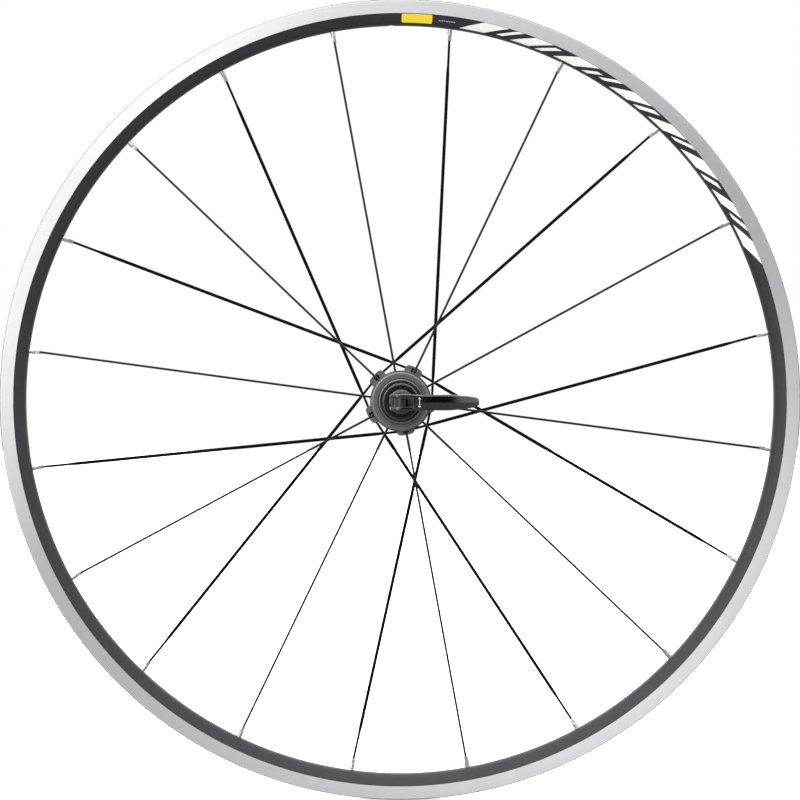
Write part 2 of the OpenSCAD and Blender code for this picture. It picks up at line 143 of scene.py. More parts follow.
class SkewerSettings(bpy.types.PropertyGroup):
    """Sizes and colours of the quick-release skewer."""

    dropout: length("Dropout", "Thickness of the dropout that each end clamps", 6.5)
    rod_radius: length("Rod radius", "Radius of the skewer rod", 2.5)
    cam_radius: length("Cam radius", "Greatest radius of the cam about its barrel", 10.3)
    barrel_radius: length("Barrel radius", "Radius of the cam barrel", 5.4)
    reach: length("Lever reach", "Distance from the barrel to the lever's tip", 60.7)
    lever: colour("Lever", "Black painted lever", 0.0015, 0.0015, 0.0018)
    steel: colour("Steel", "Bright plated steel", 0.62, 0.61, 0.60)
    barrel: colour("Barrel", "Dark plated cam barrel", 0.05, 0.05, 0.052)
    mark: colour("Mark", "Printed open and close arrow", 0.52, 0.52, 0.52)


class StageSettings(bpy.types.PropertyGroup):
    """Camera and light."""

    distance: bpy.props.FloatProperty(
        name="Camera distance", description="From the camera to the rim", default=4.0,
        min=1.0, unit="LENGTH",
    )
    elevation: turn_angle("Elevation", "Height of the camera above the axle", 1.2)
    sideways: turn_angle("Sideways", "Turn of the camera towards -X", 0.6)
    span: length("Frame width", "Width that the picture shows at the rim", 633.4)
    key_power: bpy.props.FloatProperty(
        name="Key power", description="Power of the upper left panel", default=2.0, min=0.0,
        unit="POWER",
    )
    floor: colour("Floor", "Pale studio floor", 0.88, 0.88, 0.88)


# ---------------------------------------------------------------- plain geometry, in millimetres

def arc(x, y, r, start, end, steps=6):
    """Points on an arc about (x, y); angles in degrees."""
    turns = [math.radians(start + (end - start) * i / steps) for i in range(steps + 1)]
    return [(x + r * math.cos(a), y + r * math.sin(a)) for a in turns]


def both(half):
    """Completes a half outline by its mirror image."""
    return list(half) + [(r, -y) for r, y in reversed(half)]


def soften(outline, radius, steps=3):
    """Rounds every corner of a closed outline, always with the same number of points."""
    result = []
    for i, corner in enumerate(outline):
        c = Vector(corner)
        before = Vector(outline[i - 1]) - c
        after = Vector(outline[(i + 1) % len(outline)]) - c
        half = max(before.angle(after, math.pi) / 2, 0.2)
        cut = min(radius / math.tan(half) + 1e-4, 0.42 * before.length, 0.42 * after.length)
        a, b = c + before.normalized() * cut, c + after.normalized() * cut
        for k in range(steps + 1):
            t = k / steps
            result.append(tuple(a * (1 - t) ** 2 + c * 2 * t * (1 - t) + b * t * t))
    return result


def outward(verts, faces):
    """The same shape with its faces turned outwards."""
    volume = 0.0
    for face in faces:
        a = Vector(verts[face[0]])
        for i in range(1, len(face) - 1):
            volume += a.dot(Vector(verts[face[i]]).cross(Vector(verts[face[i + 1]])))
    return (verts, faces) if volume >= 0 else (verts, [f[::-1] for f in faces])


def turn(outline, segments, axis="Y"):
    """Turns a closed outline of (radius, along) points about an axis."""
    verts, faces, n = [], [], len(outline)
    for i in range(segments):
        c, s = math.cos(2 * math.pi * i / segments), math.sin(2 * math.pi * i / segments)
        for r, t in outline:
            verts.append({"Y": (r * c, t, r * s), "X": (t, r * c, r * s), "Z": (r * c, r * s, t)}[axis])
        for j in range(n):
            k, m = (j + 1) % n, (i + 1) % segments
            faces.append((i * n + j, i * n + k, m * n + k, m * n + j))
    return outward(verts, faces)


def loft(rings, closed=False):
    """Joins rings of equal length by a skin, with flat ends unless it closes on itself."""
    verts = [tuple(p) for ring in rings for p in ring]
    n, count = len(rings[0]), len(rings)
    faces = []
    for i in range(count if closed else count - 1):
        a, b = i * n, (i + 1) % count * n
        for j in range(n):
            k = (j + 1) % n
            faces.append((a + j, a + k, b + k, b + j))
    if not closed:
        faces.append(tuple(range(n))[::-1])
        faces.append(tuple(range((count - 1) * n, count * n)))
    return outward(verts, faces)


def slab(outline, start, end, bevel=0.0):
    """Raises a drawing of (x, z) points along Y, with bevelled edges if asked."""
    middle = [sum(p[i] for p in outline) / len(outline) for i in (0, 1)]
    reach = max(math.dist(p, middle) for p in outline)

    def level(y, shrink):
        k = 1 - shrink / reach
        return [(middle[0] + (x - middle[0]) * k, y, middle[1] + (z - middle[1]) * k) for x, z in outline]

    rings = [level(start, 0), level(end, 0)]
    if bevel:
        rings = [
            level(start, bevel), level(start + 0.3 * bevel, 0.3 * bevel), level(start + bevel, 0),
            level(end - bevel, 0), level(end - 0.3 * bevel, 0.3 * bevel), level(end, bevel),
        ]
    return loft(rings)


def placed(shape, matrix):
    """A shape moved by a matrix."""
    return [tuple(matrix @ Vector(v)) for v in shape[0]], shape[1]


def together(*shapes):
    """Several shapes as one."""
    verts, faces = [], []
    for shape in shapes:
        faces += [tuple(i + len(verts) for i in f) for f in shape[1]]
        verts += shape[0]
    return verts, faces


def around(degrees):
    """Turns +X outwards at an angle around the wheel."""
    return Matrix.Rotation(-math.radians(degrees), 4, "Y")


def rod(r, start, end, sides=32):
    """A round bar along +X."""
    return turn([(0.0, start), (r, start), (r, end), (0.0, end)], sides, "X")


def between(table, x):
    """Smooth curve through a table of (x, value) rows."""
    if x <= table[0][0]:
        return table[0][1]
    if x >= table[-1][0]:
        return table[-1][1]
    i = next(k for k in range(len(table) - 1) if x <= table[k + 1][0])

    def slope(k):
        lo, hi = max(k - 1, 0), min(k + 1, len(table) - 1)
        return (table[hi][1] - table[lo][1]) / (table[hi][0] - table[lo][0])

    (x0, y0), (x1, y1) = table[i], table[i + 1]
    w = x1 - x0
    t = (x - x0) / w
    return (
        y0 * (1 + 2 * t) * (1 - t) ** 2 + slope(i) * w * t * (1 - t) ** 2
        + y1 * t * t * (3 - 2 * t) - slope(i + 1) * w * t * t * (1 - t)
    )


# ---------------------------------------------------------------- objects

@contextmanager
def editing(obj):
    """A bmesh of an object's mesh, written back at the end."""
    bm = bmesh.new()
    bm.from_mesh(obj.data)
    yield bm
    bm.to_mesh(obj.data)
    bm.free()


def make(name, shape, *materials, sharp=SHARP):
    """A mesh object from a shape in millimetres, shaded smooth except at sharp edges."""
    mesh = bpy.data.meshes.new(name)
    mesh.from_pydata([(x * MM, y * MM, z * MM) for x, y, z in shape[0]], [], shape[1])
    for material in materials:
        mesh.materials.append(material)
    obj = bpy.data.objects.new(name, mesh)
    bpy.context.scene.collection.objects.link(obj)
    tidy(obj, sharp)
    return obj


def tidy(obj, sharp=SHARP):
    """Merges doubled points, drops faces with no area and sets the shading."""
    with editing(obj) as bm:
        bmesh.ops.remove_doubles(bm, verts=bm.verts, dist=2e-7)
        bmesh.ops.dissolve_degenerate(bm, edges=bm.edges, dist=1e-7)
    obj.data.shade_smooth()
    obj.data.set_sharp_from_angle(angle=math.radians(sharp))


def settle(obj):
    """Turns the result of an object's modifiers into its plain mesh."""
    bpy.context.view_layer.update()
    graph = bpy.context.evaluated_depsgraph_get()
    mesh = bpy.data.meshes.new_from_object(obj.evaluated_get(graph), depsgraph=graph)
    obj.modifiers.clear()
    old, obj.data = obj.data, mesh
    mesh.name = obj.name
    bpy.data.meshes.remove(old)


def cut(obj, shape, operation="DIFFERENCE", sharp=SHARP):
    """Cuts a shape out of an object, or adds it."""
    tool = make("tool", shape, *obj.data.materials)
    modifier = obj.modifiers.new("cut", "BOOLEAN")
    modifier.operation, modifier.solver, modifier.object = operation, "EXACT", tool
    settle(obj)
    bpy.data.objects.remove(tool)
    tidy(obj, sharp)


def ease(obj, width, angle=50.0, sharp=SHARP):
    """Breaks an object's sharp edges."""
    modifier = obj.modifiers.new("ease", "BEVEL")
    modifier.width, modifier.segments = width * MM, 2
    modifier.limit_method, modifier.angle_limit = "ANGLE", math.radians(angle)
    settle(obj)
    tidy(obj, sharp)


def joined(name, *objects):
    """Several objects as one, with the first one's materials."""
    with editing(objects[0]) as bm:
        for obj in objects[1:]:
            bm.from_mesh(obj.data)
            bpy.data.objects.remove(obj)
    objects[0].name = objects[0].data.name = name
    tidy(objects[0])
    return objects[0]


def paint(obj, index, test):
    """Gives a material index to the faces whose (radius, y), in millimetres, pass a test."""
    for face in obj.data.polygons:
        x, y, z = face.center / MM
        if test(math.hypot(x, z), y):
            face.material_index = index


def finish_piece(obj, body, slot, *nodes):
    """Rides a piece on its body and hides the CAD nodes that it stands for; its slot is not used."""
    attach(obj, body)
    if nodes:
        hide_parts(*nodes)


# ---------------------------------------------------------------- geometry nodes

def tree_with(name, *inputs):
    """A geometry tree with inputs given as (name, socket type, default) and a Finish.

    Returns its inputs, a function that adds a node and one that completes the tree.
    """
    tree = bpy.data.node_groups.new(name, "GeometryNodeTree")
    tree.interface.new_socket("Geometry", in_out="INPUT", socket_type="NodeSocketGeometry")
    for label, kind, default in inputs:
        tree.interface.new_socket(
            label, in_out="INPUT", socket_type="NodeSocket" + kind
        ).default_value = default
    tree.interface.new_socket("Finish", in_out="INPUT", socket_type="NodeSocketMaterial")
    tree.interface.new_socket("Geometry", in_out="OUTPUT", socket_type="NodeSocketGeometry")
    source, target = tree.nodes.new("NodeGroupInput"), tree.nodes.new("NodeGroupOutput")

    def add(kind, settings=None, **links):
        node = tree.nodes.new(kind)
        for key, value in (settings or {}).items():
            setattr(node, key, value)
        for key, value in links.items():
            socket = node.inputs[int(key[1:]) if key[1:].isdigit() else key.replace("_", " ")]
            if isinstance(value, bpy.types.NodeSocket):
                tree.links.new(value, socket)
            else:
                socket.default_value = value
        return node

    def complete(node):
        real = add("GeometryNodeRealizeInstances", Geometry=node.outputs[0])
        done = add("GeometryNodeSetMaterial", Geometry=real.outputs[0], Material=source.outputs["Finish"])
        tree.links.new(done.outputs[0], target.inputs[0])
        return tree

    return source.outputs, add, complete


def ring_tree():
    """Repeats its input round the axle."""
    given, add, complete = tree_with(
        "Ring of parts", ("Count", "Int", 10), ("Start", "Float", 0.0), ("Step", "Float", 0.6)
    )
    points = add("GeometryNodePoints", Count=given["Count"])
    index = add("GeometryNodeInputIndex").outputs[0]
    spread = add(
        "ShaderNodeMath", {"operation": "MULTIPLY_ADD"}, _0=index, _1=given["Step"], _2=given["Start"]
    )
    back = add("ShaderNodeMath", {"operation": "MULTIPLY"}, _0=spread.outputs[0], _1=-1.0)
    turned = add("ShaderNodeCombineXYZ", Y=back.outputs[0])
    copies = add(
        "GeometryNodeInstanceOnPoints", Points=points.outputs[0], Instance=given["Geometry"],
        Rotation=turned.outputs[0],
    )
    return complete(copies)


def sweep_tree():
    """Carries a closed outline round a circle about the axle."""
    given, add, complete = tree_with("Hoop", ("Radius", "Float", 0.3), ("Segments", "Int", 360))
    outline = add("GeometryNodeMeshToCurve", Mesh=given["Geometry"])
    hoop = add("GeometryNodeCurvePrimitiveCircle", Resolution=given["Segments"], Radius=given["Radius"])
    skin = add("GeometryNodeCurveToMesh", Curve=hoop.outputs[0], Profile_Curve=outline.outputs[0])
    upright = add("GeometryNodeTransform", Geometry=skin.outputs[0], Rotation=(math.pi / 2, 0, 0))
    return complete(upright)


def spring_tree():
    """Winds a round wire into a conical spring about the axle."""
    given, add, complete = tree_with(
        "Conical spring", ("Turns", "Float", 4.0), ("Small Radius", "Float", 0.004),
        ("Large Radius", "Float", 0.007), ("Start", "Float", 0.07), ("Length", "Float", 0.004),
        ("Wire Radius", "Float", 0.00035),
    )
    coil = add(
        "GeometryNodeCurveSpiral", Resolution=40, Rotations=given["Turns"],
        Start_Radius=given["Small Radius"], End_Radius=given["Large Radius"], Height=given["Length"],
    )
    section = add("GeometryNodeCurvePrimitiveCircle", Resolution=12, Radius=given["Wire Radius"])
    wire = add(
        "GeometryNodeCurveToMesh", Curve=coil.outputs[0], Profile_Curve=section.outputs[0],
        Fill_Caps=True,
    )
    shift = add("ShaderNodeCombineXYZ", Y=given["Start"])
    upright = add(
        "GeometryNodeTransform", Geometry=wire.outputs[0], Translation=shift.outputs[0],
        Rotation=(-math.pi / 2, 0, 0)
    )
    return complete(upright)


def run_tree(obj, build, **values):
    """Runs a tree on an object with its named inputs and keeps the plain result."""
    tree = bpy.data.node_groups.get(build.__name__) or build()
    tree.name = build.__name__
    modifier = obj.modifiers.new(tree.name, "NODES")
    modifier.node_group = tree
    for item in tree.interface.items_tree:
        key = item.name.replace(" ", "_")
        if item.in_out == "INPUT" and key in values:
            modifier[item.identifier] = values[key]
    settle(obj)
    tidy(obj)
    return obj


def ring_of(name, shape, material, count, start):
    """A shape repeated evenly round the axle, from an angle in degrees."""
    return run_tree(
        make(name, shape, material), ring_tree, Count=count, Start=math.radians(start),
        Step=math.radians(360 / count), Finish=material,
    )


def lathe(name, outline, rounding, steps, segments, *looks):
    """A piece turned about the axle from an outline with rounded corners."""
    return make(name, turn(soften(outline, rounding, steps), segments), *[finish(look) for look in looks])


def hoop(name, outline, middle, segments, material):
    """A closed outline carried round the axle."""
    mesh = bpy.data.meshes.new(name)
    points = [((r - middle) * MM, y * MM, 0.0) for r, y in outline]
    mesh.from_pydata(points, [(i, (i + 1) % len(points)) for i in range(len(points))], [])
    obj = bpy.data.objects.new(name, mesh)
    bpy.context.scene.collection.objects.link(obj)
    run_tree(obj, sweep_tree, Radius=middle * MM, Segments=segments, Finish=material)
    with editing(obj) as bm:
        bmesh.ops.recalc_face_normals(bm, faces=bm.faces)
    return obj


# ---------------------------------------------------------------- materials

class Finish:
    """Builds one procedural material; positions are the piece's own, in metres."""

    def __init__(self, name, rgb, metallic=0.0, roughness=0.4, **sockets):
        self.material = bpy.data.materials.new(name)
        self.material.use_nodes = True
        self.nodes, self.links = self.material.node_tree.nodes, self.material.node_tree.links
        self.shader = self.nodes["Principled BSDF"]
        self.rgb = rgb
        self.set("Base Color", (*rgb, 1.0))
        self.set("Metallic", metallic)
        self.set("Roughness", roughness)
        for key, value in sockets.items():
            self.set(key.replace("_", " "), value)
        self.place = self.add("ShaderNodeTexCoord").outputs["Object"]

    def set(self, socket, value):
        self.shader.inputs[socket].default_value = value

    def add(self, kind, **settings):
        node = self.nodes.new(kind)
        for key, value in settings.items():
            setattr(node, key, value)
        return node

    def math(self, operation, a, b=0.0, c=0.0):
        node = self.add("ShaderNodeMath", operation=operation)
        for socket, value in zip(node.inputs, (a, b, c)):
            if isinstance(value, bpy.types.NodeSocket):
                self.links.new(value, socket)
            else:
                socket.default_value = value
        return node.outputs[0]

    def ring_place(self, around_scale=1.0, radial_scale=1.0, axial_scale=1.0):
        """Coordinates (arc, radius, along the axle) for grain that follows the turning."""
        parts = self.add("ShaderNodeSeparateXYZ")
        self.links.new(self.place, parts.inputs[0])
        x, y, z = parts.outputs
        radius = self.math("SQRT", self.math("MULTIPLY_ADD", x, x, self.math("MULTIPLY", z, z)))
        join = self.add("ShaderNodeCombineXYZ")
        for socket, value, scale in (
            (join.inputs[0], self.math("ARCTAN2", z, x), around_scale),
            (join.inputs[1], radius, radial_scale),
            (join.inputs[2], y, axial_scale),
        ):
            self.links.new(self.math("MULTIPLY", value, scale), socket)
        return join.outputs[0]

    def noise(self, scale, place=None, detail=3.0, rough=0.55):
        node = self.add("ShaderNodeTexNoise")
        self.links.new(place or self.place, node.inputs["Vector"])
        node.inputs["Scale"].default_value = scale
        node.inputs["Detail"].default_value = detail
        node.inputs["Roughness"].default_value = rough
        return node.outputs["Fac"]

    def spread(self, value, low, high, start=0.3, end=0.7):
        node = self.add("ShaderNodeMapRange")
        self.links.new(value, node.inputs["Value"])
        for key, number in zip(("From Min", "From Max", "To Min", "To Max"), (start, end, low, high)):
            node.inputs[key].default_value = number
        return node.outputs[0]

    def tone(self, value, *rgbs):
        """Colours the surface between two or more tones."""
        ramp = self.add("ShaderNodeValToRGB")
        points = ramp.color_ramp.elements
        while len(points) < len(rgbs):
            points.new(0.5)
        for i, (point, rgb) in enumerate(zip(points, rgbs)):
            point.position = 0.25 + 0.5 * i / (len(rgbs) - 1)
            point.color = (*rgb, 1.0)
        self.links.new(value, ramp.inputs["Fac"])
        self.links.new(ramp.outputs["Color"], self.shader.inputs["Base Color"])
        return ramp.outputs["Color"]

    def worn(self, base, rgb, amount=1.0, low=0.53, high=0.60):
        """Lighter metal where edges are rubbed."""
        edge = self.spread(self.add("ShaderNodeNewGeometry").outputs["Pointiness"], 0.0, amount, low, high)
        patchy = self.math("MULTIPLY", edge, self.spread(self.noise(900), 0.35, 1.0))
        mix = self.add("ShaderNodeMix", data_type="RGBA")
        self.links.new(patchy, mix.inputs[0])
        self.links.new(base, mix.inputs[6])
        mix.inputs[7].default_value = (*rgb, 1.0)
        self.links.new(mix.outputs[2], self.shader.inputs["Base Color"])

    def gloss(self, value, low, high):
        self.links.new(self.spread(value, low, high), self.shader.inputs["Roughness"])

    def relief(self, value, depth, strength=1.0):
        """Bump whose depth is in millimetres."""
        node = self.add("ShaderNodeBump")
        node.inputs["Strength"].default_value = strength
        node.inputs["Distance"].default_value = depth * MM
        self.links.new(value, node.inputs["Height"])
        self.links.new(node.outputs[0], self.shader.inputs["Normal"])

    def shades(self, spread=0.12):
        """Slightly darker and lighter versions of the finish's colour."""
        return [tuple(min(1.0, c * k) for c in self.rgb) for k in (1 - spread, 1.0, 1 + spread)]


def anodised(name, rgb, roughness=0.36, metallic=0.0, blast=0.006, **sockets):
    """Anodised or painted metal: faint cloudiness, fine blasting and rubbed edges."""
    f = Finish(name, rgb, metallic, roughness, **sockets)
    base = f.tone(f.noise(160, detail=4), *f.shades(0.10))
    f.worn(base, tuple(min(1.0, c * 2.2 + 0.03) for c in rgb), 0.7)
    f.gloss(f.noise(700), roughness - 0.05, roughness + 0.07)
    f.relief(f.noise(5200, detail=2), blast, 0.5)
    return f.material


def turned_metal(name, rgb, roughness=0.28, lines=5.0, spread=0.10, metallic=1.0, **sockets):
    """Metal cut on a lathe: fine lines that follow the turning."""
    f = Finish(name, rgb, metallic, roughness, **sockets)
    grain = f.ring_place(0.006, lines, lines)
    fine = f.noise(800, grain, detail=2)
    base = f.tone(fine, *f.shades(spread))
    f.worn(base, tuple(min(1.0, c * 1.25 + 0.04) for c in rgb), 0.5)
    f.gloss(f.noise(260, grain), roughness - 0.06, roughness + 0.08)
    f.relief(fine, 0.004, 0.6)
    return f.material


def drawn_wire(name, rgb, roughness=0.3, metallic=1.0, **sockets):
    """Wire with faint lines along its length."""
    f = Finish(name, rgb, metallic, roughness, **sockets)
    along = f.ring_place(0.35, 0.02, 1.0)
    base = f.tone(f.noise(2400, along, detail=2), *f.shades(0.14))
    f.worn(base, tuple(min(1.0, c * 1.8 + 0.02) for c in rgb), 0.35)
    f.gloss(f.noise(900), roughness - 0.05, roughness + 0.09)
    f.relief(f.noise(3600, along, detail=2), 0.004, 0.5)
    return f.material


def track_metal(name, rgb):
    """Brake track: cut in fine rings, so its gloss stretches across them."""
    f = Finish(name, rgb, 1.0, 0.42, Anisotropic=0.9)
    rings = f.ring_place(0.003, 1.0, 0.0)
    fine = f.noise(1500, rings, detail=2, rough=0.7)
    broad = f.noise(14, f.ring_place(3.0, 0.4, 0.0), detail=2)
    mixed = f.math("MULTIPLY_ADD", broad, 0.35, f.math("MULTIPLY", fine, 0.65))
    f.tone(mixed, *f.shades(0.05))
    f.gloss(fine, 0.39, 0.45)
    flat = f.add("ShaderNodeVectorMath", operation="MULTIPLY")
    f.links.new(f.place, flat.inputs[0])
    flat.inputs[1].default_value = (1, 0, 1)
    outwards = f.add("ShaderNodeVectorMath", operation="NORMALIZE")
    f.links.new(flat.outputs[0], outwards.inputs[0])
    world = f.add(
        "ShaderNodeVectorTransform", vector_type="VECTOR", convert_from="OBJECT", convert_to="WORLD"
    )
    f.links.new(outwards.outputs[0], world.inputs[0])
    f.links.new(world.outputs[0], f.shader.inputs["Tangent"])
    f.relief(fine, 0.003, 0.3)
    return f.material


def rubber(name, rgb):
    """Moulded rubber or matt polymer."""
    f = Finish(name, rgb, 0.0, 0.62, Specular_IOR_Level=0.35)
    f.tone(f.noise(420, detail=4), *f.shades(0.18))
    f.gloss(f.noise(1500), 0.55, 0.75)
    f.relief(f.noise(4200, detail=3), 0.012, 0.5)
    return f.material


def printed(name, rgb, roughness=0.42):
    """Printed or foil label."""
    f = Finish(name, rgb, 0.0, roughness)
    f.tone(f.noise(240, detail=3), *f.shades(0.03))
    f.gloss(f.noise(1200), roughness - 0.05, roughness + 0.08)
    f.relief(f.noise(2600), 0.003, 0.4)
    return f.material


def woven(name, rgb):
    """Woven tape: crossed threads that follow the rim."""
    f = Finish(name, rgb, 0.0, 0.7, Specular_IOR_Level=0.3)
    place = f.ring_place(0.308, 1.0, 1.0)
    parts = f.add("ShaderNodeSeparateXYZ")
    f.links.new(place, parts.inputs[0])
    warp = f.math("SINE", f.math("MULTIPLY", parts.outputs[0], 9000))
    weft = f.math("SINE", f.math("MULTIPLY", parts.outputs[2], 9000))
    weave = f.math("MULTIPLY_ADD", f.math("MULTIPLY", warp, weft), 0.5, 0.5)
    f.tone(weave, *f.shades(0.25))
    f.relief(weave, 0.05, 0.7)
    return f.material


_finishes = {}


def finish(name):
    """The named material, built on first use."""
    if name not in _finishes:
        scene = bpy.context.scene
        rim, lace, hub, skewer = scene.wheel_rim, scene.wheel_lacing, scene.wheel_hub, scene.wheel_skewer
        recipes = {
            "rim_black": lambda: anodised("rim_black", rim.black, 0.36, Specular_IOR_Level=0.25),
            "track": lambda: track_metal("machined_track", rim.track_metal),
            "label": lambda: printed("yellow_label", rim.label),
            "label_dark": lambda: printed("dark_label", (0.012, 0.013, 0.03)),
            "stripe": lambda: printed("white_print", rim.stripe, 0.5),
            "tape": lambda: woven("woven_tape", rim.tape),
            "left_wire": lambda: drawn_wire(
                "grey_wire", lace.left_wire, 0.42, 0.3, Specular_IOR_Level=0.15
            ),
            "right_wire": lambda: drawn_wire(
                "black_oxide", lace.right_wire, 0.55, 0.0, Specular_IOR_Level=0.02
            ),
            "nipple": lambda: turned_metal("silver_nipple", lace.nipple, 0.30, spread=0.06),
            "shell": lambda: anodised("blasted_shell", hub.shell, 0.42, 0.85),
            "cap": lambda: turned_metal("satin_cap", hub.cap, 0.5, 4.0, 0.06, 0.7, Specular_IOR_Level=0.3),
            "locknut": lambda: anodised("black_locknut", hub.locknut, 0.30, Specular_IOR_Level=0.2),
            "freehub": lambda: anodised("hard_anodised", hub.freehub, 0.44, 0.8),
            "seal": lambda: rubber("rubber_seal", hub.seal),
            "axle": lambda: turned_metal("axle_alloy", (0.60, 0.60, 0.61), 0.28),
            "steel": lambda: turned_metal("plated_steel", skewer.steel, 0.22),
            "spring": lambda: drawn_wire("spring_wire", (0.55, 0.54, 0.52), 0.25),
            "tool_steel": lambda: turned_metal("tool_steel", (0.36, 0.35, 0.34), 0.36),
            "bearing": lambda: turned_metal("bearing_steel", (0.66, 0.66, 0.67), 0.18, 7.0, 0.05),
            "ball": lambda: turned_metal("ball_steel", (0.75, 0.75, 0.76), 0.08, 3.0, 0.02),
            "cage": lambda: rubber("brown_cage", (0.16, 0.07, 0.025)),
            "shield": lambda: rubber("bearing_shield", (0.018, 0.018, 0.02)),
            "bronze": lambda: turned_metal("sintered_bronze", (0.50, 0.27, 0.11), 0.42, 3.0, 0.16),
            "cup": lambda: anodised("black_cup", (0.06, 0.06, 0.062), 0.30, 0.8),
            "saddle": lambda: rubber("grey_saddle", (0.05, 0.05, 0.052)),
            "lever": lambda: anodised(
                "lever_paint", skewer.lever, 0.12, 0.0, 0.001, Specular_IOR_Level=0.8
            ),
            "barrel": lambda: turned_metal("plated_barrel", skewer.barrel, 0.34, 6.0, 0.1, 0.9),
            "mark": lambda: printed("arrow_print", skewer.mark, 0.5),
            "nylon": lambda: rubber("nylon_insert", (0.62, 0.62, 0.58)),
        }
        _finishes[name] = recipes[name]()
    return _finishes[name]


# ---------------------------------------------------------------- shared places

FACE_DROP = 12.9    # the rim's height less the radius of its rounded spoke face
TRACK_EDGE = 1.2    # from the hooked edge to the brake track
SADDLE_OUT = 7.0    # from the clamping face to the outer face of the saddle


def spoke_face(s):
    """(radius of the rim's rounded spoke face, distance of its centre from the axle)."""
    face = s.height / MM - FACE_DROP
    return face, s.radius / MM - s.height / MM + face


def track_foot(s):
    """Radius at which the brake track begins."""
    return s.radius / MM - TRACK_EDGE - s.track / MM


def rim_outline(s):
    """Half outline of the rim, from its spoke face to the tyre well."""
    r, w = s.radius / MM, s.width / MM / 2
    (face, at), low = spoke_face(s), track_foot(s)
    return (
        arc(at, 0, face, 172, 117, 9)
        + [(low - 0.35, w - 0.32), (low - 0.1, w - 0.22), (low, w), (low + 0.12, w), (r - TRACK_EDGE, w)]
        + arc(r - 0.9, w - 0.9, 0.9, 78, 12, 4)
        + [(r - 0.4, w - 2), (r - 0.9, w - 2.4), (r - 1.6, w - 2.5), (r - 2.4, w - 2.3), (r - 3.2, w - 1.7),
           (r - 6, w - 1.7), (r - 6, 5.6), (r - 9.2, 3)]
    )


def rim_cavity(s):
    """Half outline of the hollow inside the rim."""
    r, w = s.radius / MM, s.width / MM / 2
    face, at = spoke_face(s)
    return arc(at, 0, face - 1.9, 170, 117, 5) + [
        (r - 11, w - 2), (r - 7.8, w - 1.7), (r - 7.8, 6.4), (r - 10.6, 3.2)
    ]


def seat_radius(s):
    """Radius at which the nipple heads bear on the rim."""
    return (s.radius - s.height) / MM + 2.4


def left_spoke(scene):
    """(matrix of a left spoke at angle 0, distance along it to the nipple seat)."""
    seat, foot, y = seat_radius(scene.wheel_rim), 20.0, -scene.wheel_hub.left_flange / MM
    tilt = math.atan2(-y, seat - foot)
    matrix = Matrix.Translation((foot, y, 0)) @ Matrix.Rotation(tilt, 4, "Z")
    return matrix, math.hypot(seat - foot, y)


def right_spoke(scene, side):
    """(matrix of a right spoke whose foot is at angle 0, distance to its nipple seat)."""
    lace = scene.wheel_lacing
    offset = lace.offset / MM
    run = math.sqrt(seat_radius(scene.wheel_rim) ** 2 - offset ** 2)
    y = (scene.wheel_hub.right_flange + side * lace.cross_gap) / MM
    matrix = (
        Matrix.Translation((offset, y, 0)) @ Matrix.Rotation(math.radians(-90 * side), 4, "Y")
        @ Matrix.Rotation(-math.atan2(y, run), 4, "Z")
    )
    return matrix, math.hypot(run, y)


def clamp_plane(scene):
    """Distance from the wheel's middle to each serrated clamping face."""
    return (scene.wheel_hub.over_locknuts / 2 + scene.wheel_skewer.dropout) / MM


def barrel_plane(scene):
    """Place of the cam barrel's middle along the axle."""
    return -(clamp_plane(scene) + SADDLE_OUT + scene.wheel_skewer.cam_radius / MM + 0.05)


def foot_turn(scene):
    """Angle between a boss and the foot of each of its spokes."""
    return 90 - math.degrees(math.acos(scene.wheel_lacing.offset / MM / seat_radius(scene.wheel_rim)))


def spoke_places(scene):
    """(matrix, seat, count, first angle) for the left, leading and trailing spokes."""
    lace = scene.wheel_lacing
    boss, bosses = math.degrees(lace.boss_angle), lace.per_side // 2
    rows = [(*left_spoke(scene), lace.per_side, boss - 36)]
    for side in (1, -1):
        rows.append((*right_spoke(scene, side), bosses, boss + side * foot_turn(scene)))
    return rows


# ---------------------------------------------------------------- operators

class WHEEL_OT_rim(bpy.types.Operator):
    """Add the rim with its machined tracks, spoke holes and valve hole"""

    bl_idname = "wheel.add_rim"
    bl_label = "Rim"

    def execute(self, context):
        s = context.scene.wheel_rim
        r, w = s.radius / MM, s.width / MM / 2
        middle = r - 10
        rim = hoop("rim_hoop", both(rim_outline(s)), middle, s.segments, finish("rim_black"))
        hollow = hoop("hollow", both(rim_cavity(s)), middle, s.segments // 2, finish("rim_black"))
        hollow.data.flip_normals()
        rim = joined("rim_hoop", rim, hollow)
        tools = []
        for matrix, seat, count, start in spoke_places(context.scene):
            for i in range(count):
                at = around(start + 360 / count * i) @ matrix
                tools.append(placed(rod(2.15, seat - 8, seat + 3), at))
        first = math.degrees(context.scene.wheel_lacing.boss_angle) - 36
        for i in range(20):
            tools.append(placed(rod(4, r - 13.4, r - 6.4, 40), around(first + 18 * i)))
        tools.append(placed(rod(s.valve_radius / MM, r - 30, r, 40), around(math.degrees(s.valve_angle))))
        cut(rim, together(*tools), sharp=28)
        rim.data.materials.append(finish("track"))
        low = track_foot(s)
        paint(rim, 1, lambda radius, y: abs(y) > w - 0.15 and low - 0.02 < radius < r - 0.5)
        finish_piece(rim, "wheel", "rim_black", "rim")
        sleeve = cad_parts["rim_joint_sleeve"]
        sleeve.data.materials[0] = finish("axle")
        return {"FINISHED"}


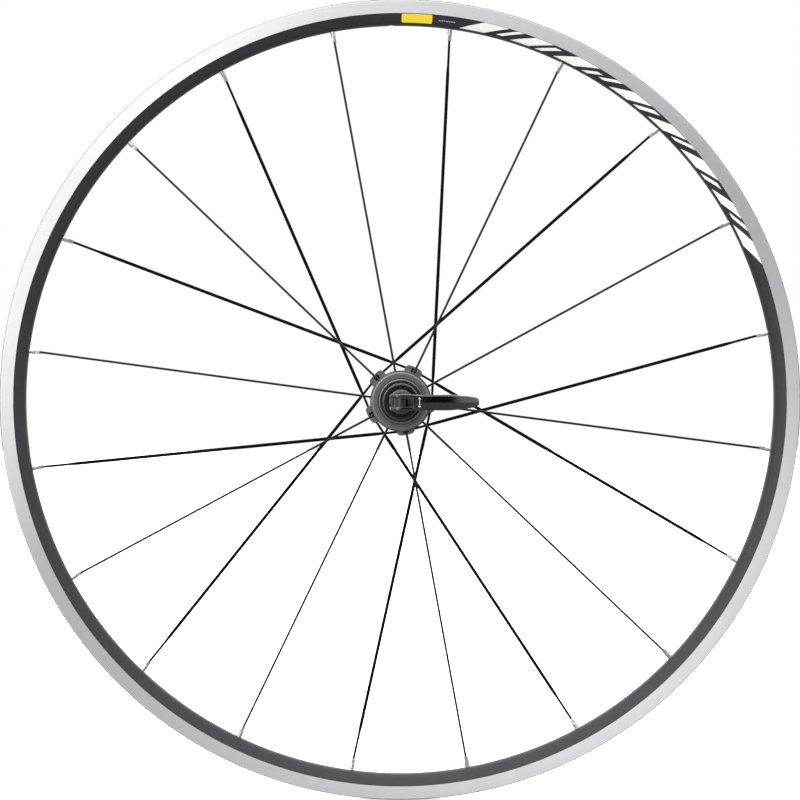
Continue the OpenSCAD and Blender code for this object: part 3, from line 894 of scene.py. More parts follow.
class WHEEL_OT_labels(bpy.types.Operator):
    """Add the printed labels and stripes on the left face of the rim"""

    bl_idname = "wheel.add_labels"
    bl_label = "Rim labels"

    def execute(self, context):
        s = context.scene.wheel_rim
        w = s.width / MM / 2
        (face, at), low = spoke_face(s), track_foot(s)
        path = arc(at, 0, face, 150, 117, 8) + [(low - 0.4, w - 0.34)]

        def on_band(radius):
            """Point on the band just above its surface, at a radius."""
            for (r0, y0), (r1, y1) in zip(path, path[1:]):
                if radius <= r1 or (r1, y1) == path[-1]:
                    t = (radius - r0) / (r1 - r0)
                    lift = Vector((-(y1 - y0), r1 - r0)).normalized() * 0.035
                    return r0 + (r1 - r0) * t + lift.x, -(y0 + (y1 - y0) * t + lift.y)
            return radius, -w

        def patch(start, end, inner, outer, slant=0.0, rows=8, corner=0.0):
            """A thin patch between two angles and radii; slant shifts its outer edge, in degrees."""
            columns = max(2, int(abs(end - start) / 0.4) + 1)
            verts, faces = [], []
            for i in range(rows + 1):
                v = i / rows
                trim = corner * max(0.0, abs(v - 0.5) * 2 - 0.7) / 0.3
                for j in range(columns + 1):
                    a = start + (end - start) * j / columns + slant * v
                    a += trim * (1 if j == 0 else -1 if j == columns else 0) * (1 if end > start else -1)
                    radius, y = on_band(inner + (outer - inner) * v)
                    a = math.radians(a)
                    verts.append((radius * math.cos(a), y, radius * math.sin(a)))
            n = columns + 1
            for i in range(rows):
                for j in range(columns):
                    faces.append((i * n + j, i * n + j + 1, (i + 1) * n + j + 1, (i + 1) * n + j))
            return verts, faces

        def print_on(name, material, *patches):
            obj = make(name, together(*patches), finish(material))
            with editing(obj) as bm:
                for f in bm.faces:
                    f.normal_update()
                    if f.normal.y > 0:
                        f.normal_flip()
            finish_piece(obj, "wheel", "rim_black")

        print_on("valve_label", "label", patch(85.2, 89.8, 298.9, 305.8, corner=0.12))
        print_on("dark_label", "label_dark", patch(80.8, 84.9, 299.2, 305.6, corner=0.12))
        print_on("label_line", "stripe", patch(81.6, 84.2, 301.6, 302.3, rows=2))
        stripes, a = [], 81.0
        for width, gap, inner, outer in (
            (3.4, 1.2, 298.3, 306.1), (0.9, 1.6, 299.4, 306.1), (2.6, 0.9, 298.3, 306.1),
            (1.0, 1.7, 298.3, 304.6), (3.2, 1.1, 298.3, 306.1),
            (0.9, 0.8, 298.3, 303.2), (0.9, 1.8, 300.2, 306.1), (3.0, 1.0, 298.3, 306.1),
            (1.1, 1.5, 298.3, 305.0), (2.8, 0.9, 298.3, 306.1),
            (0.9, 1.7, 299.4, 306.1), (3.3, 1.0, 298.3, 306.1), (1.0, 1.6, 298.3, 304.2),
            (2.4, 0.9, 298.3, 306.1), (0.9, 1.5, 300.0, 306.1),
            (3.2, 0.0, 298.3, 306.1),
        ):
            lean, shift = (-0.46 * v for v in (outer - inner, inner - 298.3))
            stripes.append(patch(a + shift, a - 1.12 * width + shift, inner, outer, lean, rows=8))
            a -= 1.12 * (width + gap)
        print_on("band_stripes", "stripe", *stripes)
        return {"FINISHED"}


class WHEEL_OT_tape(bpy.types.Operator):
    """Add the woven tape in the tyre well"""

    bl_idname = "wheel.add_tape"
    bl_label = "Rim tape"

    def execute(self, context):
        s = context.scene.wheel_rim
        r = s.radius / MM
        lower = [
            (r - 5.95, -8.3), (r - 5.95, -5.6), (r - 9.1, -3), (r - 9.1, 3), (r - 5.95, 5.6),
            (r - 5.95, 8.3)
        ]
        outline = soften(lower + [(a + 0.5, b) for a, b in reversed(lower)], 0.3, 2)
        tape = hoop("woven_tape", outline, r - 8, 360, finish("tape"))
        cut(
            tape, placed(rod(s.valve_radius / MM + 0.3, r - 12, r, 40), around(math.degrees(s.valve_angle)))
        )
        finish_piece(tape, "wheel", "rim_tape", "rim_tape")
        return {"FINISHED"}


class WHEEL_OT_spokes(bpy.types.Operator):
    """Add the round left spokes and the flattened right spokes"""

    bl_idname = "wheel.add_spokes"
    bl_label = "Spokes"

    def execute(self, context):
        lace = context.scene.wheel_lacing
        left, leading, trailing = spoke_places(context.scene)
        r = lace.left_radius / MM
        outline = soften([
            (0, -1.6), (1.2, -1.6), (1.7, -1.25), (1.7, -0.55), (1.45, -0.25), (r + 0.12, -0.1), (r, 0.4),
            (r, left[1] + 1), (0, left[1] + 1),
        ], 0.15, 2)
        wire = placed(turn([(abs(a) if abs(a) > 0.02 else 0.0, b) for a, b in outline], 20, "X"), left[0])
        spokes = ring_of("round_spokes", wire, finish("left_wire"), left[2], left[3])
        finish_piece(spokes, "wheel", "grey_spoke", "left_spokes")
        for name, node, (matrix, seat, count, start) in (
            ("leading_blades", "leading_spokes", leading), ("trailing_blades", "trailing_spokes", trailing),
        ):
            neck, wide, thin = (
                v / MM for v in (lace.neck_radius, lace.blade_width / 2, lace.blade_thickness / 2)
            )
            stations = [
                (-1.7, 1.1), (-1.6, 1.45), (-1.4, 1.6), (-0.5, 1.6), (-0.25, 1.3), (-0.1, neck + 0.1),
                (0.3, neck)
            ]
            rings = [self.ring(x, q, q) for x, q in stations]
            for edge, way in ((14.0, 1), (seat - 30.0, -1)):
                for k in range(9):
                    t = k / 8 if way > 0 else 1 - k / 8
                    x = edge + 9 * (k / 8 if way > 0 else k / 8 - 1)
                    ease_in = t * t * (3 - 2 * t)
                    height, breadth = neck + (thin - neck) * ease_in, neck + (wide - neck) * ease_in
                    rings.append(self.ring(x, height, breadth, ease_in))
            rings.append(self.ring(seat + 1, neck, neck))
            blades = ring_of(name, placed(loft(rings), matrix), finish("right_wire"), count, start)
            finish_piece(blades, "wheel", "black_spoke", node)
        return {"FINISHED"}

    @staticmethod
    def ring(x, thin, wide, flat=0.0, sides=24):
        """Cross-section of a spoke: round, or an oval whose flat sides grow with flat."""
        points = []
        for i in range(sides):
            a = 2 * math.pi * i / sides
            c, s = math.cos(a), math.sin(a)
            k = 1 - 0.45 * flat
            points.append((x, math.copysign(abs(c) ** k, c) * thin, math.copysign(abs(s), s) * wide))
        return points


class WHEEL_OT_nipples(bpy.types.Operator):
    """Add the nipples, round at the rim with square flats at their inner ends"""

    bl_idname = "wheel.add_nipples"
    bl_label = "Nipples"

    def execute(self, context):
        rows = []
        for i, (matrix, seat, count, start) in enumerate(spoke_places(context.scene)):
            shape = placed(self.shape(seat), matrix)
            rows.append(ring_of("nipples_%d" % i, shape, finish("nipple"), count, start))
        finish_piece(rows[0], "wheel", "nipple_silver", "left_nipples")
        rows[0].name = "square_nipples_left"
        both_right = joined("square_nipples_right", rows[1], rows[2])
        finish_piece(both_right, "wheel", "nipple_silver", "right_nipples")
        return {"FINISHED"}

    @staticmethod
    def shape(seat, sides=32):
        """Closed skin from the bore out over the flats, barrel and head, and back in."""
        stations = [
            (-9.0, 1.02, 1), (-11.1, 1.02, 1), (-11.2, 1.12, 1), (-11.2, 1.38, 0.45), (-11.1, 1.56, 0.22),
            (-10.9, 1.625, 0.16),
            (-7.6, 1.625, 0.16), (-7.3, 1.66, 0.25), (-6.9, 1.82, 0.6), (-6.5, 1.95, 0.9), (-6.2, 2.0, 1),
            (-0.2, 2.0, 1),
            (0.05, 2.05, 1), (0.9, 2.88, 1), (1.1, 2.9, 1), (2.6, 2.9, 1), (2.9, 2.8, 1), (3.5, 2.2, 1),
            (3.5, 1.1, 1),
            (3.4, 1.02, 1),
        ]
        rings = []
        for x, half, roundness in stations:
            power = 2 + 10 * (1 - roundness) ** 2
            points = []
            for i in range(sides):
                a = 2 * math.pi * i / sides
                c, s = abs(math.cos(a)), abs(math.sin(a))
                k = half / (c ** power + s ** power) ** (1 / power)
                points.append((seat + x, k * math.cos(a), k * math.sin(a)))
            rings.append(points)
        return loft(rings, closed=True)


class WHEEL_OT_hub(bpy.types.Operator):
    """Add the hub shell with its flanges, spoke bosses and holes"""

    bl_idname = "wheel.add_hub"
    bl_label = "Hub shell"

    def execute(self, context):
        s = context.scene.wheel_hub
        lf, rf = -s.left_flange / MM, s.right_flange / MM
        fr = s.flange_radius / MM
        outline = [
            (15.9, -52), (17.3, -52), (17.3, lf + 2.1), (20.2, lf + 2.1), (20.2, lf - 3.5), (fr, lf - 3.5),
            (fr, lf + 3.5), (19.5, lf + 4.4), (16, lf + 7), (14.4, lf + 11), (14, lf + 18),
            (14.2, rf - 18), (15.2, rf - 11), (17.8, rf - 6.5), (21.3, rf - 4), (22, rf - 3.3),
            (22, rf + 3.5), (21.5, rf + 4), (11.6, rf + 4), (11.6, 31), (10, 31.4), (10, 40), (7.8, 40),
            (7.8, 19), (12.02, 19), (12.02, -46), (15.9, -46),
        ]
        hub = lathe("hub_body", outline, 0.6, 3, 144, "shell")
        boss = soften([
            (14, -7.3), (26.4, -7.1), (28.1, -5.6), (
                s.boss_radius / MM - 0.06, -2.2
            ), (s.boss_radius / MM - 0.06, 2.2),
            (28.1, 5.6), (26.4, 7.1), (14, 7.3),
        ], 0.8, 3)
        bosses, tools = [], []
        first = math.degrees(context.scene.wheel_lacing.boss_angle)
        for i in range(5):
            matrix = around(first + 72 * i)
            bosses.append(placed(slab(boss, rf - 3.2, rf + 3.45, 0.5), matrix))
            pocket = soften([(23.3, -2.2), (27.2, -2.2), (27.2, 2.2), (23.3, 2.2)], 0.6, 3)
            tools.append(placed(slab(pocket, rf - 5, rf + 2.7), matrix))
        cut(hub, together(*bosses), "UNION")
        for row, (matrix, _, count, start) in enumerate(spoke_places(context.scene)):
            for i in range(count):
                hole = rod(1.05, -1, 8, 20) if row == 0 else rod(1.1, -3, 10, 20)
                tools.append(placed(hole, around(start + 360 / count * i) @ matrix))
        pawl = soften([(-1.2, 8.9), (5.3, 8.2), (7, 8.9), (7.3, 10.2), (7.3, 13), (-1.2, 13)], 0.4, 2)
        for half in (0, 180):
            tools.append(placed(slab(pawl, 24.5, 30.6), Matrix.Rotation(math.radians(half), 4, "Y")))
        cut(hub, together(*tools))
        # painted shade: the flange's outer edge past the cap takes the black locknut finish, a dark band that
        # stands in for the shade at the flange's edge
        hub.data.materials.append(finish("locknut"))
        paint(hub, 1, lambda r, y: y < lf - 2.6 and r > 22.4)
        finish_piece(hub, "wheel", "hub_grey", "hub_shell")
        cap = lathe("flange_cap", [
            (17.5, lf - 3.9), (17.8, lf - 4.2), (21.7, lf - 5.3), (22.4, lf - 5.1), (22.6, lf - 4.6),
            (22.6, lf - 3.55), (20, lf - 3.55), (20, lf - 2.45), (17.5, lf - 2.45),
        ], 0.25, 3, 144, "cap")
        finish_piece(cap, "wheel", "cap_grey", "left_flange_cap")
        return {"FINISHED"}


class WHEEL_OT_axle(bpy.types.Operator):
    """Add the hollow axle and its two locknuts"""

    bl_idname = "wheel.add_axle"
    bl_label = "Axle and locknuts"

    def execute(self, context):
        face = context.scene.wheel_hub.over_locknuts / MM / 2
        end = face + 5
        bore, r = context.scene.wheel_skewer.rod_radius / MM + 0.3, 5.98
        axle = lathe("hollow_axle", [
            (bore, -end), (4.95, -end), (4.95, -face + 0.3), (r, -face + 0.6), (r, -39.98), (7.2, -39.98),
            (7.2, 12.98), (r, 12.98), (r, face - 0.6), (4.95, face - 0.3), (4.95, end), (bore, end),
        ], 0.3, 3, 96, "axle")
        finish_piece(axle, "axle", "axle_silver", "axle")
        y = -46.02
        left = lathe("left_nut", [
            (6.02, y), (7.6, y), (7.6, y - 1.4), (13, y - 2.6), (14.2, y - 3.4), (14.2, y - 6.5),
            (13.6, y - 7.6),
            (13.6, 0.5 - face), (13.1, -face), (10.4, -face), (10.2, 0.35 - face), (9.3, 0.35 - face),
            (9.1, -face), (6.02, -face),
        ], 0.22, 3, 128, "locknut", "cap")
        paint(left, 1, lambda radius, along: y - 7.7 < along < y - 3.2 and radius > 13.4)
        finish_piece(left, "axle", "locknut_black", "left_locknut")
        y = 53.02
        right = lathe("right_nut", [
            (6.02, y), (7.6, y), (7.6, y + 1.2), (9.2, y + 2.2), (9.2, face - 0.4), (8.8, face),
            (6.02, face),
        ], 0.3, 3, 96, "locknut")
        finish_piece(right, "axle", "locknut_black", "right_locknut")
        return {"FINISHED"}


class WHEEL_OT_freehub(bpy.types.Operator):
    """Add the splined freehub body"""

    bl_idname = "wheel.add_freehub"
    bl_label = "Freehub body"

    def execute(self, context):
        outline = []
        for i in range(9):
            half = 4.2 if i == 0 else 3.0
            mid = 40 * i
            floor_half = math.degrees(math.asin(half / 16.0))
            top_half = math.degrees(math.asin(half / 17.3))
            for a in (-top_half, -floor_half):
                r = 17.3 if a == -top_half else 16.0
                outline.append((r, mid + a))
            for k in range(1, 6):
                outline.append((16.0, mid - floor_half + 2 * floor_half * k / 6))
            outline.append((16.0, mid + floor_half))
            outline.append((17.3, mid + top_half))
            following = 40 * (i + 1) - math.degrees(math.asin((4.2 if i == 8 else 3.0) / 17.3))
            for k in range(1, 6):
                outline.append((17.3, mid + top_half + (following - mid - top_half) * k / 6))
        points = [(r * math.cos(math.radians(a)), r * math.sin(math.radians(a))) for r, a in outline]
        body = make("splined_body", slab(points, 26.5, 62, 0.25), finish("freehub"))
        cut(body, turn(soften([(10, 25), (18.2, 25), (18.2, 27), (10, 27)], 0.3, 3), 144), "UNION")
        bore = [
            (0, 24), (14.92, 24), (14.92, 32), (11.32, 32.4), (11.32, 40.2), (10.8, 40.6), (10.8, 46.98),
            (12.02, 46.98),
            (12.02, 53), (12.4, 53.4), (12.4, 54),
        ]
        pitch = 0.9
        for k in range(8):
            y = 54.2 + pitch * k
            bore += [(14.75, y), (14.45, y + 0.45 * pitch), (14.45, y + 0.55 * pitch)]
        bore += [(14.75, 61.6), (15.1, 63), (0, 63)]
        cut(body, turn(bore, 144), sharp=28)
        finish_piece(body, "freehub", "freehub_alloy", "freehub_body")
        return {"FINISHED"}


class WHEEL_OT_inner_parts(bpy.types.Operator):
    """Finish the bearings, pawls, ratchet ring, seal and spacers"""

    bl_idname = "wheel.finish_inner_parts"
    bl_label = "Bearings and ratchet"

    def execute(self, context):
        table = {
            "freehub_seal": "seal", "pawl_1": "tool_steel", "pawl_2": "tool_steel",
            "ratchet_ring": "tool_steel", "freehub_bushing": "bronze", "axle_spacer": "axle",
            "nut_lock_insert": "nylon",
        }
        for place in ("left", "right", "freehub"):
            table.update({
                place + "_bearing_outer_ring": "bearing", place + "_bearing_inner_ring": "bearing",
                place + "_bearing_balls": "ball", place + "_bearing_cage": "cage",
                place + "_bearing_shields": "shield",
            })
        for node, look in table.items():
            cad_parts[node].data.materials[0] = finish(look)
        leaf = slab([(1.0, 8.72), (2.6, 8.52), (4.8, 8.29), (4.8, 8.42), (2.6, 8.65), (1.0, 8.8)], 27, 28.6)
        leaves = [placed(leaf, Matrix.Rotation(math.radians(half), 4, "Y")) for half in (0, 180)]
        finish_piece(
            make("pawl_leaves", together(*leaves), finish("spring")), "wheel", "spring_steel",
            "pawl_springs"
        )
        return {"FINISHED"}


class WHEEL_OT_end_cup(bpy.types.Operator):
    """Add the serrated cup and the polymer saddle that the cam bears on"""

    bl_idname = "wheel.add_end_cup"
    bl_label = "End cup"

    def execute(self, context):
        y = -clamp_plane(context.scene)
        cup = lathe("cup_body", [
            (2.7, y - 5), (8.7, y - 5), (9.6, y - 4.1), (9.6, y - 0.4), (8, y - 0.4), (8, y - 3.4),
            (2.7, y - 3.4),
        ], 0.35, 3, 96, "cup")
        tooth = teeth_shape(y - 0.45, y)
        cup = joined("serrated_cup", cup, ring_of("cup_teeth", tooth, finish("cup"), 24, 0))
        finish_piece(cup, "end_cup", "end_cup_black", "end_cup")
        y -= SADDLE_OUT
        rim = [(2.7, y), (7.8, y), (8.3, y + 0.5), (8.3, y + 1.9), (2.7, y + 1.9)]
        finish_piece(
            lathe("cam_seat", rim, 0.2, 3, 96, "saddle"), "end_cup", "saddle_polymer", "cam_saddle"
        )
        return {"FINISHED"}


def teeth_shape(start, end):
    """One radial tooth of a serrated clamping face, between two planes along the axle."""
    top, foot = 0.25, 0.7 / 9
    rings = []
    for r, height in ((8.05, 0.6), (8.15, 1.0), (9.45, 1.0), (9.55, 0.6)):
        crest = start + (end - start) * height
        rings.append([(r, start, -foot * r), (r, crest, -top), (r, crest, top), (r, start, foot * r)])
    return loft(rings)


class WHEEL_OT_lever(bpy.types.Operator):
    """Add the cam lever, its barrel and its printed arrow"""

    bl_idname = "wheel.add_lever"
    bl_label = "Cam lever"

    def execute(self, context):
        s = context.scene.wheel_skewer
        barrel_y = barrel_plane(context.scene)
        reach = s.reach / MM
        outer = [
            (0, -7.8), (8, -7.82), (20, -8.2), (32, -7.3), (43, -4.6), (reach - 9, -0.3), (reach - 2, 6),
            (reach, 9.0)
        ]
        inner = [
            (0, 10.3), (1.8, 10.14), (4.84, 9.1), (8.2, 6.2), (12, 0.9), (20, -1.8), (33, -1.4), (45, 1.6),
            (reach - 7, 6.4), (reach - 1.5, 10.1), (reach, 10.3),
        ]
        plan = [
            (-9.1, 5.5), (-8.6, 6.1), (-7.6, 6.45), (5, 6.5), (12, 6.15), (25, 6.05), (38, 6.08), (44.5, 5.5),
            (reach - 9, 4.8), (reach - 4.5, 4.1), (reach - 1.6, 3.3), (reach - 0.4, 2.3), (reach, 1.5),
        ]
        top = [
            (-9.1, 4.9), (-7.6, 5.8), (6, 5.8), (13, 5.25), (20, 5.0), (39, 5.0), (44.5, 4.5), (50, 3.9),
            (57, 3.0), (reach, 0.9)
        ]
        flare = [(-9.1, 0.1), (-7, 0.7), (6, 0.8), (13, 1.1), (20, 1.5), (44, 1.5), (57, 1.1), (reach, 0.4)]
        spots = [-9.1 * math.cos(math.radians(a)) for a in (5, 9, 14, 20, 27, 35, 44, 54, 65, 77, 90)]
        spots += [1.2, 2.6, 4, 5.4, 6.8, 8.2, 9.6, 11, 12.4, 14]
        spots += [14 + (reach - 4 - 14) * k / 34 for k in range(1, 35)]
        spots += [reach - 3.2, reach - 2.4, reach - 1.7, reach - 1.1, reach - 0.6, reach - 0.25, reach]
        rings = []
        for x in spots:
            if x < 0:
                bow = math.sqrt(max(0.0, 1 - (x / 9.1) ** 2))
                near, far = -7.8 * bow, 10.3 * bow
            else:
                near, far = between(outer, x), between(inner, x)
            w, t, f = between(plan, x), between(top, x), between(flare, x)
            f = min(f, 0.45 * (far - near))
            section = [
                (0, near - (0.12 if x > 12 else 0.02)), (t, near), (w, near + f), (w, far), (0, far + 0.02),
                (-w, far), (-w, near + f), (-t, near)
            ]
            rings.append([(x, barrel_y + y, z) for z, y in soften(section, 0.55, 4)])
        lever = make("cam_lever", loft(rings), finish("lever"), sharp=40)
        slot = soften([(-12, -3.3), (9, -3.3), (9, 3.3), (-12, 3.3)], 0.8, 3)
        cut(lever, loft([[(x, y, z) for x, z in slot] for y in (barrel_y - 20, barrel_y + 20)]), sharp=40)
        loose = s.barrel_radius / MM + 0.03
        hole = placed(
            turn([(0, -10), (loose, -10), (loose, 10), (0, 10)], 64, "Z"), Matrix.Translation((0, barrel_y, 0))
        )
        cut(lever, hole, sharp=40)
        ease(lever, 0.22, 55, sharp=40)
        finish_piece(lever, "lever", "lever_black", "lever")
        self.arrow(barrel_y + between(outer, 14) - 0.15)
        length_z = 6.3
        r = s.barrel_radius / MM
        barrel = make("cam_pin", placed(turn(soften([
            (0, -length_z), (r - 0.5, -length_z), (r, 0.5 - length_z), (r, length_z - 0.5),
            (r - 0.5, length_z), (0, length_z),
        ], 0.2, 3), 72, "Z"), Matrix.Translation((0, barrel_y, 0))), finish("barrel"))
        finish_piece(barrel, "skewer", "barrel_steel", "cam_barrel")
        return {"FINISHED"}

    @staticmethod
    def arrow(y):
        """A two-headed arrow printed across the lever."""
        outline = [
            (13.7, -2.6), (13.7, 2.6), (12.7, 2.6), (14, 4.1), (15.3, 2.6),
            (14.3, 2.6), (14.3, -2.6), (15.3, -2.6), (14, -4.1), (12.7, -2.6),
        ]
        mark = make("lever_arrow", slab(outline, y - 0.04, y), finish("mark"))
        finish_piece(mark, "lever", "lever_black")


class WHEEL_OT_skewer(bpy.types.Operator):
    """Add the skewer rod, its adjusting nut and the conical springs"""

    bl_idname = "wheel.add_skewer"
    bl_label = "Skewer rod and nut"

    def execute(self, context):
        s = context.scene.wheel_skewer
        clamp, barrel_y = clamp_plane(context.scene), barrel_plane(context.scene)
        r = s.rod_radius / MM
        end = clamp + 14.5
        outline = [(0, barrel_y - 2.5), (r, barrel_y - 2.5), (r, clamp + 0.2)]
        pitch, y = 0.8, clamp + 0.2
        while y < end - 0.9:
            outline += [(r, y + 0.1), (r - 0.28, y + 0.5 * pitch), (r, y + pitch - 0.1)]
            y += pitch
        outline += [(r - 0.5, end), (0, end)]
        rod_piece = make("threaded_rod", turn(outline, 48), finish("steel"))
        finish_piece(rod_piece, "skewer", "rod_steel", "skewer_rod")
        y = clamp
        body = make("nut_body", turn(soften([
            (r + 0.02, y + 3.4), (8, y + 3.4), (8, y + 2.02), (9.6, y + 2.02), (9.6, y + 3.3), (8.4, y + 5),
            (7.6, y + 12.2),
            (6.8, y + 13), (4.6, y + 13), (4.6, y + 9.5), (r + 0.02, y + 9.5),
        ], 0.4, 3), 120), finish("cup"))
        lobes = []
        for i in range(6):
            turns = [2 * math.pi * k / 32 for k in range(32)]
            ring = [(7.2 + 1.9 * math.cos(a), 1.9 * math.sin(a)) for a in turns]
            lobes.append(placed(slab(ring, y + 3.2, y + 11.5, 0.6), around(60 * i)))
        cut(body, together(*lobes), "UNION")
        cut(body, turn([(0, y + 9.5), (4.6, y + 9.5), (4.6, y + 14), (0, y + 14)], 96))
        cut(body, turn([(0, y + 1), (8, y + 1), (8, y + 3.4), (0, y + 3.4)], 96))
        ease(body, 0.15, 50)
        body.name = "lobed_nut"
        finish_piece(body, "nut", "nut_black", "skewer_nut")
        plate_ring = lathe(
            "nut_ring", [(8.05, y + 0.4), (9.6, y + 0.4), (9.6, y + 2), (8.05, y + 2)], 0.15, 2, 96, "steel"
        )
        teeth = ring_of("ring_teeth", teeth_shape(y + 0.45, y), finish("steel"), 24, 0)
        finish_piece(
            joined("serrated_ring", plate_ring, teeth), "nut", "machined_aluminium", "nut_serrated_ring"
        )
        gap = 0.37
        for name, node, side in (
            ("left_spring_coil", "left_cone_spring", -1), ("right_spring_coil", "right_cone_spring", 1)
        ):
            seed = make(name, rod(0.1, 0, 1, 3), finish("spring"))
            start, stop = clamp - 1.5 + gap, clamp + 3.4 - gap
            spring = run_tree(
                seed, spring_tree, Turns=4.0, Small_Radius=3.9 * MM, Large_Radius=7.2 * MM,
                Start=side * start * MM,
                Length=side * (stop - start) * MM, Wire_Radius=0.35 * MM, Finish=finish("spring"),
            )
            finish_piece(spring, "axle", "spring_steel", node)
        return {"FINISHED"}


class WHEEL_OT_stage(bpy.types.Operator):
    """Add the pale floor, soft studio light and camera"""

    bl_idname = "wheel.add_stage"
    bl_label = "Stage"

    def execute(self, context):
        scene = context.scene
        s = scene.wheel_stage
        low = CAD_BOX[0][2] / MM
        sides = ((-1, -1), (1, -1), (1, 1), (-1, 1))
        mesh = make("floor", ([(x * 9000, y * 9000, low - 0.6) for x, y in sides], [(0, 1, 2, 3)]))
        mesh.data.materials.append(self.floor(s.floor))
        self.sky(scene)
        for name, place, size, power in (
            ("key_panel", (-0.45, -1.1, 0.55), (0.5, 0.5), s.key_power * 0.8),
            ("left_panel", (-0.75, -1.1, 0.05), (0.4, 0.6), s.key_power),
            ("top_panel", (0.0, -0.3, 3.0), (2.6, 2.0), s.key_power * 6),
            ("back_panel", (0.5, 2.8, 1.4), (2.4, 1.8), s.key_power * 6),
        ):
            light = bpy.data.lights.new(name, "AREA")
            light.shape, light.size, light.size_y, light.energy = "RECTANGLE", size[0], size[1], power
            lamp = bpy.data.objects.new(name, light)
            lamp.location = place
            lamp.rotation_euler = (-Vector(place)).to_track_quat("-Z", "Y").to_euler()
            lamp.visible_camera = False
            scene.collection.objects.link(lamp)
        camera = bpy.data.objects.new("camera", bpy.data.cameras.new("camera"))
        face = Vector((-0.00026, -scene.wheel_rim.width / 2, 0.00024))
        offset = Vector((-math.tan(s.sideways), -1, math.tan(s.elevation))) * s.distance
        camera.location = face + offset
        camera.rotation_euler = (-offset).to_track_quat("-Z", "Y").to_euler()
        camera.data.lens = camera.data.sensor_width * offset.length / s.span
        camera.data.clip_end = 60
        scene.collection.objects.link(camera)
        scene.camera = camera
        scene.view_settings.view_transform = "Standard"
        return {"FINISHED"}

    @staticmethod
    def floor(rgb):
        """Pale matt floor that the camera sees evenly lit."""
        f = Finish("studio_floor", rgb, 0.0, 0.9, Specular_IOR_Level=0.1)
        base = f.tone(f.noise(1.5), *f.shades(0.01))
        seen = f.add("ShaderNodeLightPath").outputs["Is Camera Ray"]
        dim = f.add("ShaderNodeMix", data_type="RGBA")
        f.links.new(seen, dim.inputs[0])
        dim.inputs[6].default_value = (0.24, 0.24, 0.24, 1)
        f.links.new(base, dim.inputs[7])
        f.links.new(dim.outputs[2], f.shader.inputs["Base Color"])
        f.set("Emission Color", (1, 1, 1, 1))
        f.links.new(f.math("MULTIPLY", seen, 0.78), f.shader.inputs["Emission Strength"])
        return f.material

    @staticmethod
    def sky(scene):
        """White to the camera; soft light to the rest, dim in front and brightest at the upper left."""
        world = bpy.data.worlds.new("studio")
        scene.world = world
        world.use_nodes = True
        nodes, links = world.node_tree.nodes, world.node_tree.links
        nodes.clear()
        out = nodes.new("ShaderNodeOutputWorld")
        mix = nodes.new("ShaderNodeMixShader")
        seen, soft = nodes.new("ShaderNodeBackground"), nodes.new("ShaderNodeBackground")
        seen.inputs[0].default_value = (1, 1, 1, 1)
        seen.inputs[1].default_value = 1.0
        path = nodes.new("ShaderNodeLightPath")
        where = nodes.new("ShaderNodeTexCoord")
        front = nodes.new("ShaderNodeVectorMath")
        front.operation = "DOT_PRODUCT"
        front.inputs[1].default_value = Vector((-0.27, 1, 0.09)).normalized()
        links.new(where.outputs["Generated"], front.inputs[0])
        ramp = nodes.new("ShaderNodeMapRange")
        ramp.interpolation_type = "SMOOTHSTEP"
        for key, value in (("From Min", -0.975), ("From Max", -0.80), ("To Min", 0.02), ("To Max", 1.8)):
            ramp.inputs[key].default_value = value
        links.new(front.outputs[1], ramp.inputs["Value"])
        slant = nodes.new("ShaderNodeVectorMath")
        slant.operation = "DOT_PRODUCT"
        slant.inputs[1].default_value = (math.cos(math.radians(107)), 0, math.sin(math.radians(107)))
        links.new(where.outputs["Generated"], slant.inputs[0])
        steps = []
        for operation in ("MULTIPLY", "MULTIPLY_ADD", "MULTIPLY"):
            steps.append(nodes.new("ShaderNodeMath"))
            steps[-1].operation = operation
        square, lift, total = steps
        lift.inputs[1].default_value = 1.3
        lift.inputs[2].default_value = 1.0
        for source, socket in (
            (
                slant.outputs[1], square.inputs[0]
            ), (slant.outputs[1], square.inputs[1]), (square.outputs[0], lift.inputs[0]),
            (
                lift.outputs[0], total.inputs[0]
            ), (ramp.outputs[0], total.inputs[1]), (total.outputs[0], soft.inputs[1]),
        ):
            links.new(source, socket)
        links.new(path.outputs["Is Camera Ray"], mix.inputs[0])
        links.new(soft.outputs[0], mix.inputs[1])
        links.new(seen.outputs[0], mix.inputs[2])
        links.new(mix.outputs[0], out.inputs[0])


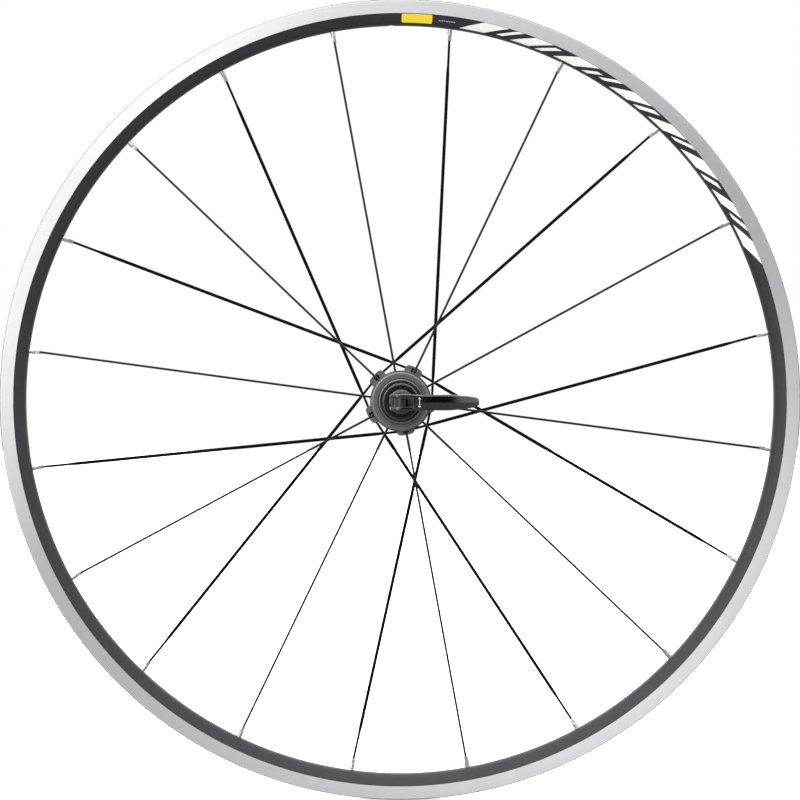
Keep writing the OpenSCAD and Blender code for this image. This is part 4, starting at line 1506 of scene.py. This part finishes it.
class WHEEL_PT_panel(bpy.types.Panel):
    """Lists the wheel's pieces in the 3D view's sidebar."""

    bl_idname = "WHEEL_PT_panel"
    bl_label = "Rear wheel"
    bl_space_type = "VIEW_3D"
    bl_region_type = "UI"
    bl_category = "Wheel"

    def draw(self, context):
        for operator in OPERATORS:
            self.layout.operator(operator.bl_idname)
        for key in SETTINGS:
            group = getattr(context.scene, key)
            box = self.layout.box()
            for name in group.__annotations__:
                box.prop(group, name)


SETTINGS = {
    "wheel_rim": RimSettings,
    "wheel_lacing": LacingSettings,
    "wheel_hub": HubSettings,
    "wheel_skewer": SkewerSettings,
    "wheel_stage": StageSettings,
}
OPERATORS = (
    WHEEL_OT_rim, WHEEL_OT_labels, WHEEL_OT_tape, WHEEL_OT_spokes, WHEEL_OT_nipples, WHEEL_OT_hub,
    WHEEL_OT_axle,
    WHEEL_OT_freehub, WHEEL_OT_inner_parts, WHEEL_OT_end_cup, WHEEL_OT_lever, WHEEL_OT_skewer,
    WHEEL_OT_stage,
)


def register():
    for group in SETTINGS.values():
        bpy.utils.register_class(group)
    for operator in OPERATORS:
        bpy.utils.register_class(operator)
    bpy.utils.register_class(WHEEL_PT_panel)
    for key, group in SETTINGS.items():
        setattr(bpy.types.Scene, key, bpy.props.PointerProperty(type=group))


def unregister():
    for key in SETTINGS:
        delattr(bpy.types.Scene, key)
    bpy.utils.unregister_class(WHEEL_PT_panel)
    for operator in reversed(OPERATORS):
        bpy.utils.unregister_class(operator)
    for group in reversed(list(SETTINGS.values())):
        bpy.utils.unregister_class(group)


def main():
    """Builds every piece in order."""
    register()
    bpy.ops.wheel.add_rim()
    bpy.ops.wheel.add_labels()
    bpy.ops.wheel.add_tape()
    bpy.ops.wheel.add_spokes()
    bpy.ops.wheel.add_nipples()
    bpy.ops.wheel.add_hub()
    bpy.ops.wheel.add_axle()
    bpy.ops.wheel.add_freehub()
    bpy.ops.wheel.finish_inner_parts()
    bpy.ops.wheel.add_end_cup()
    bpy.ops.wheel.add_lever()
    bpy.ops.wheel.add_skewer()
    bpy.ops.wheel.add_stage()


if __name__ == "__main__":
    main()
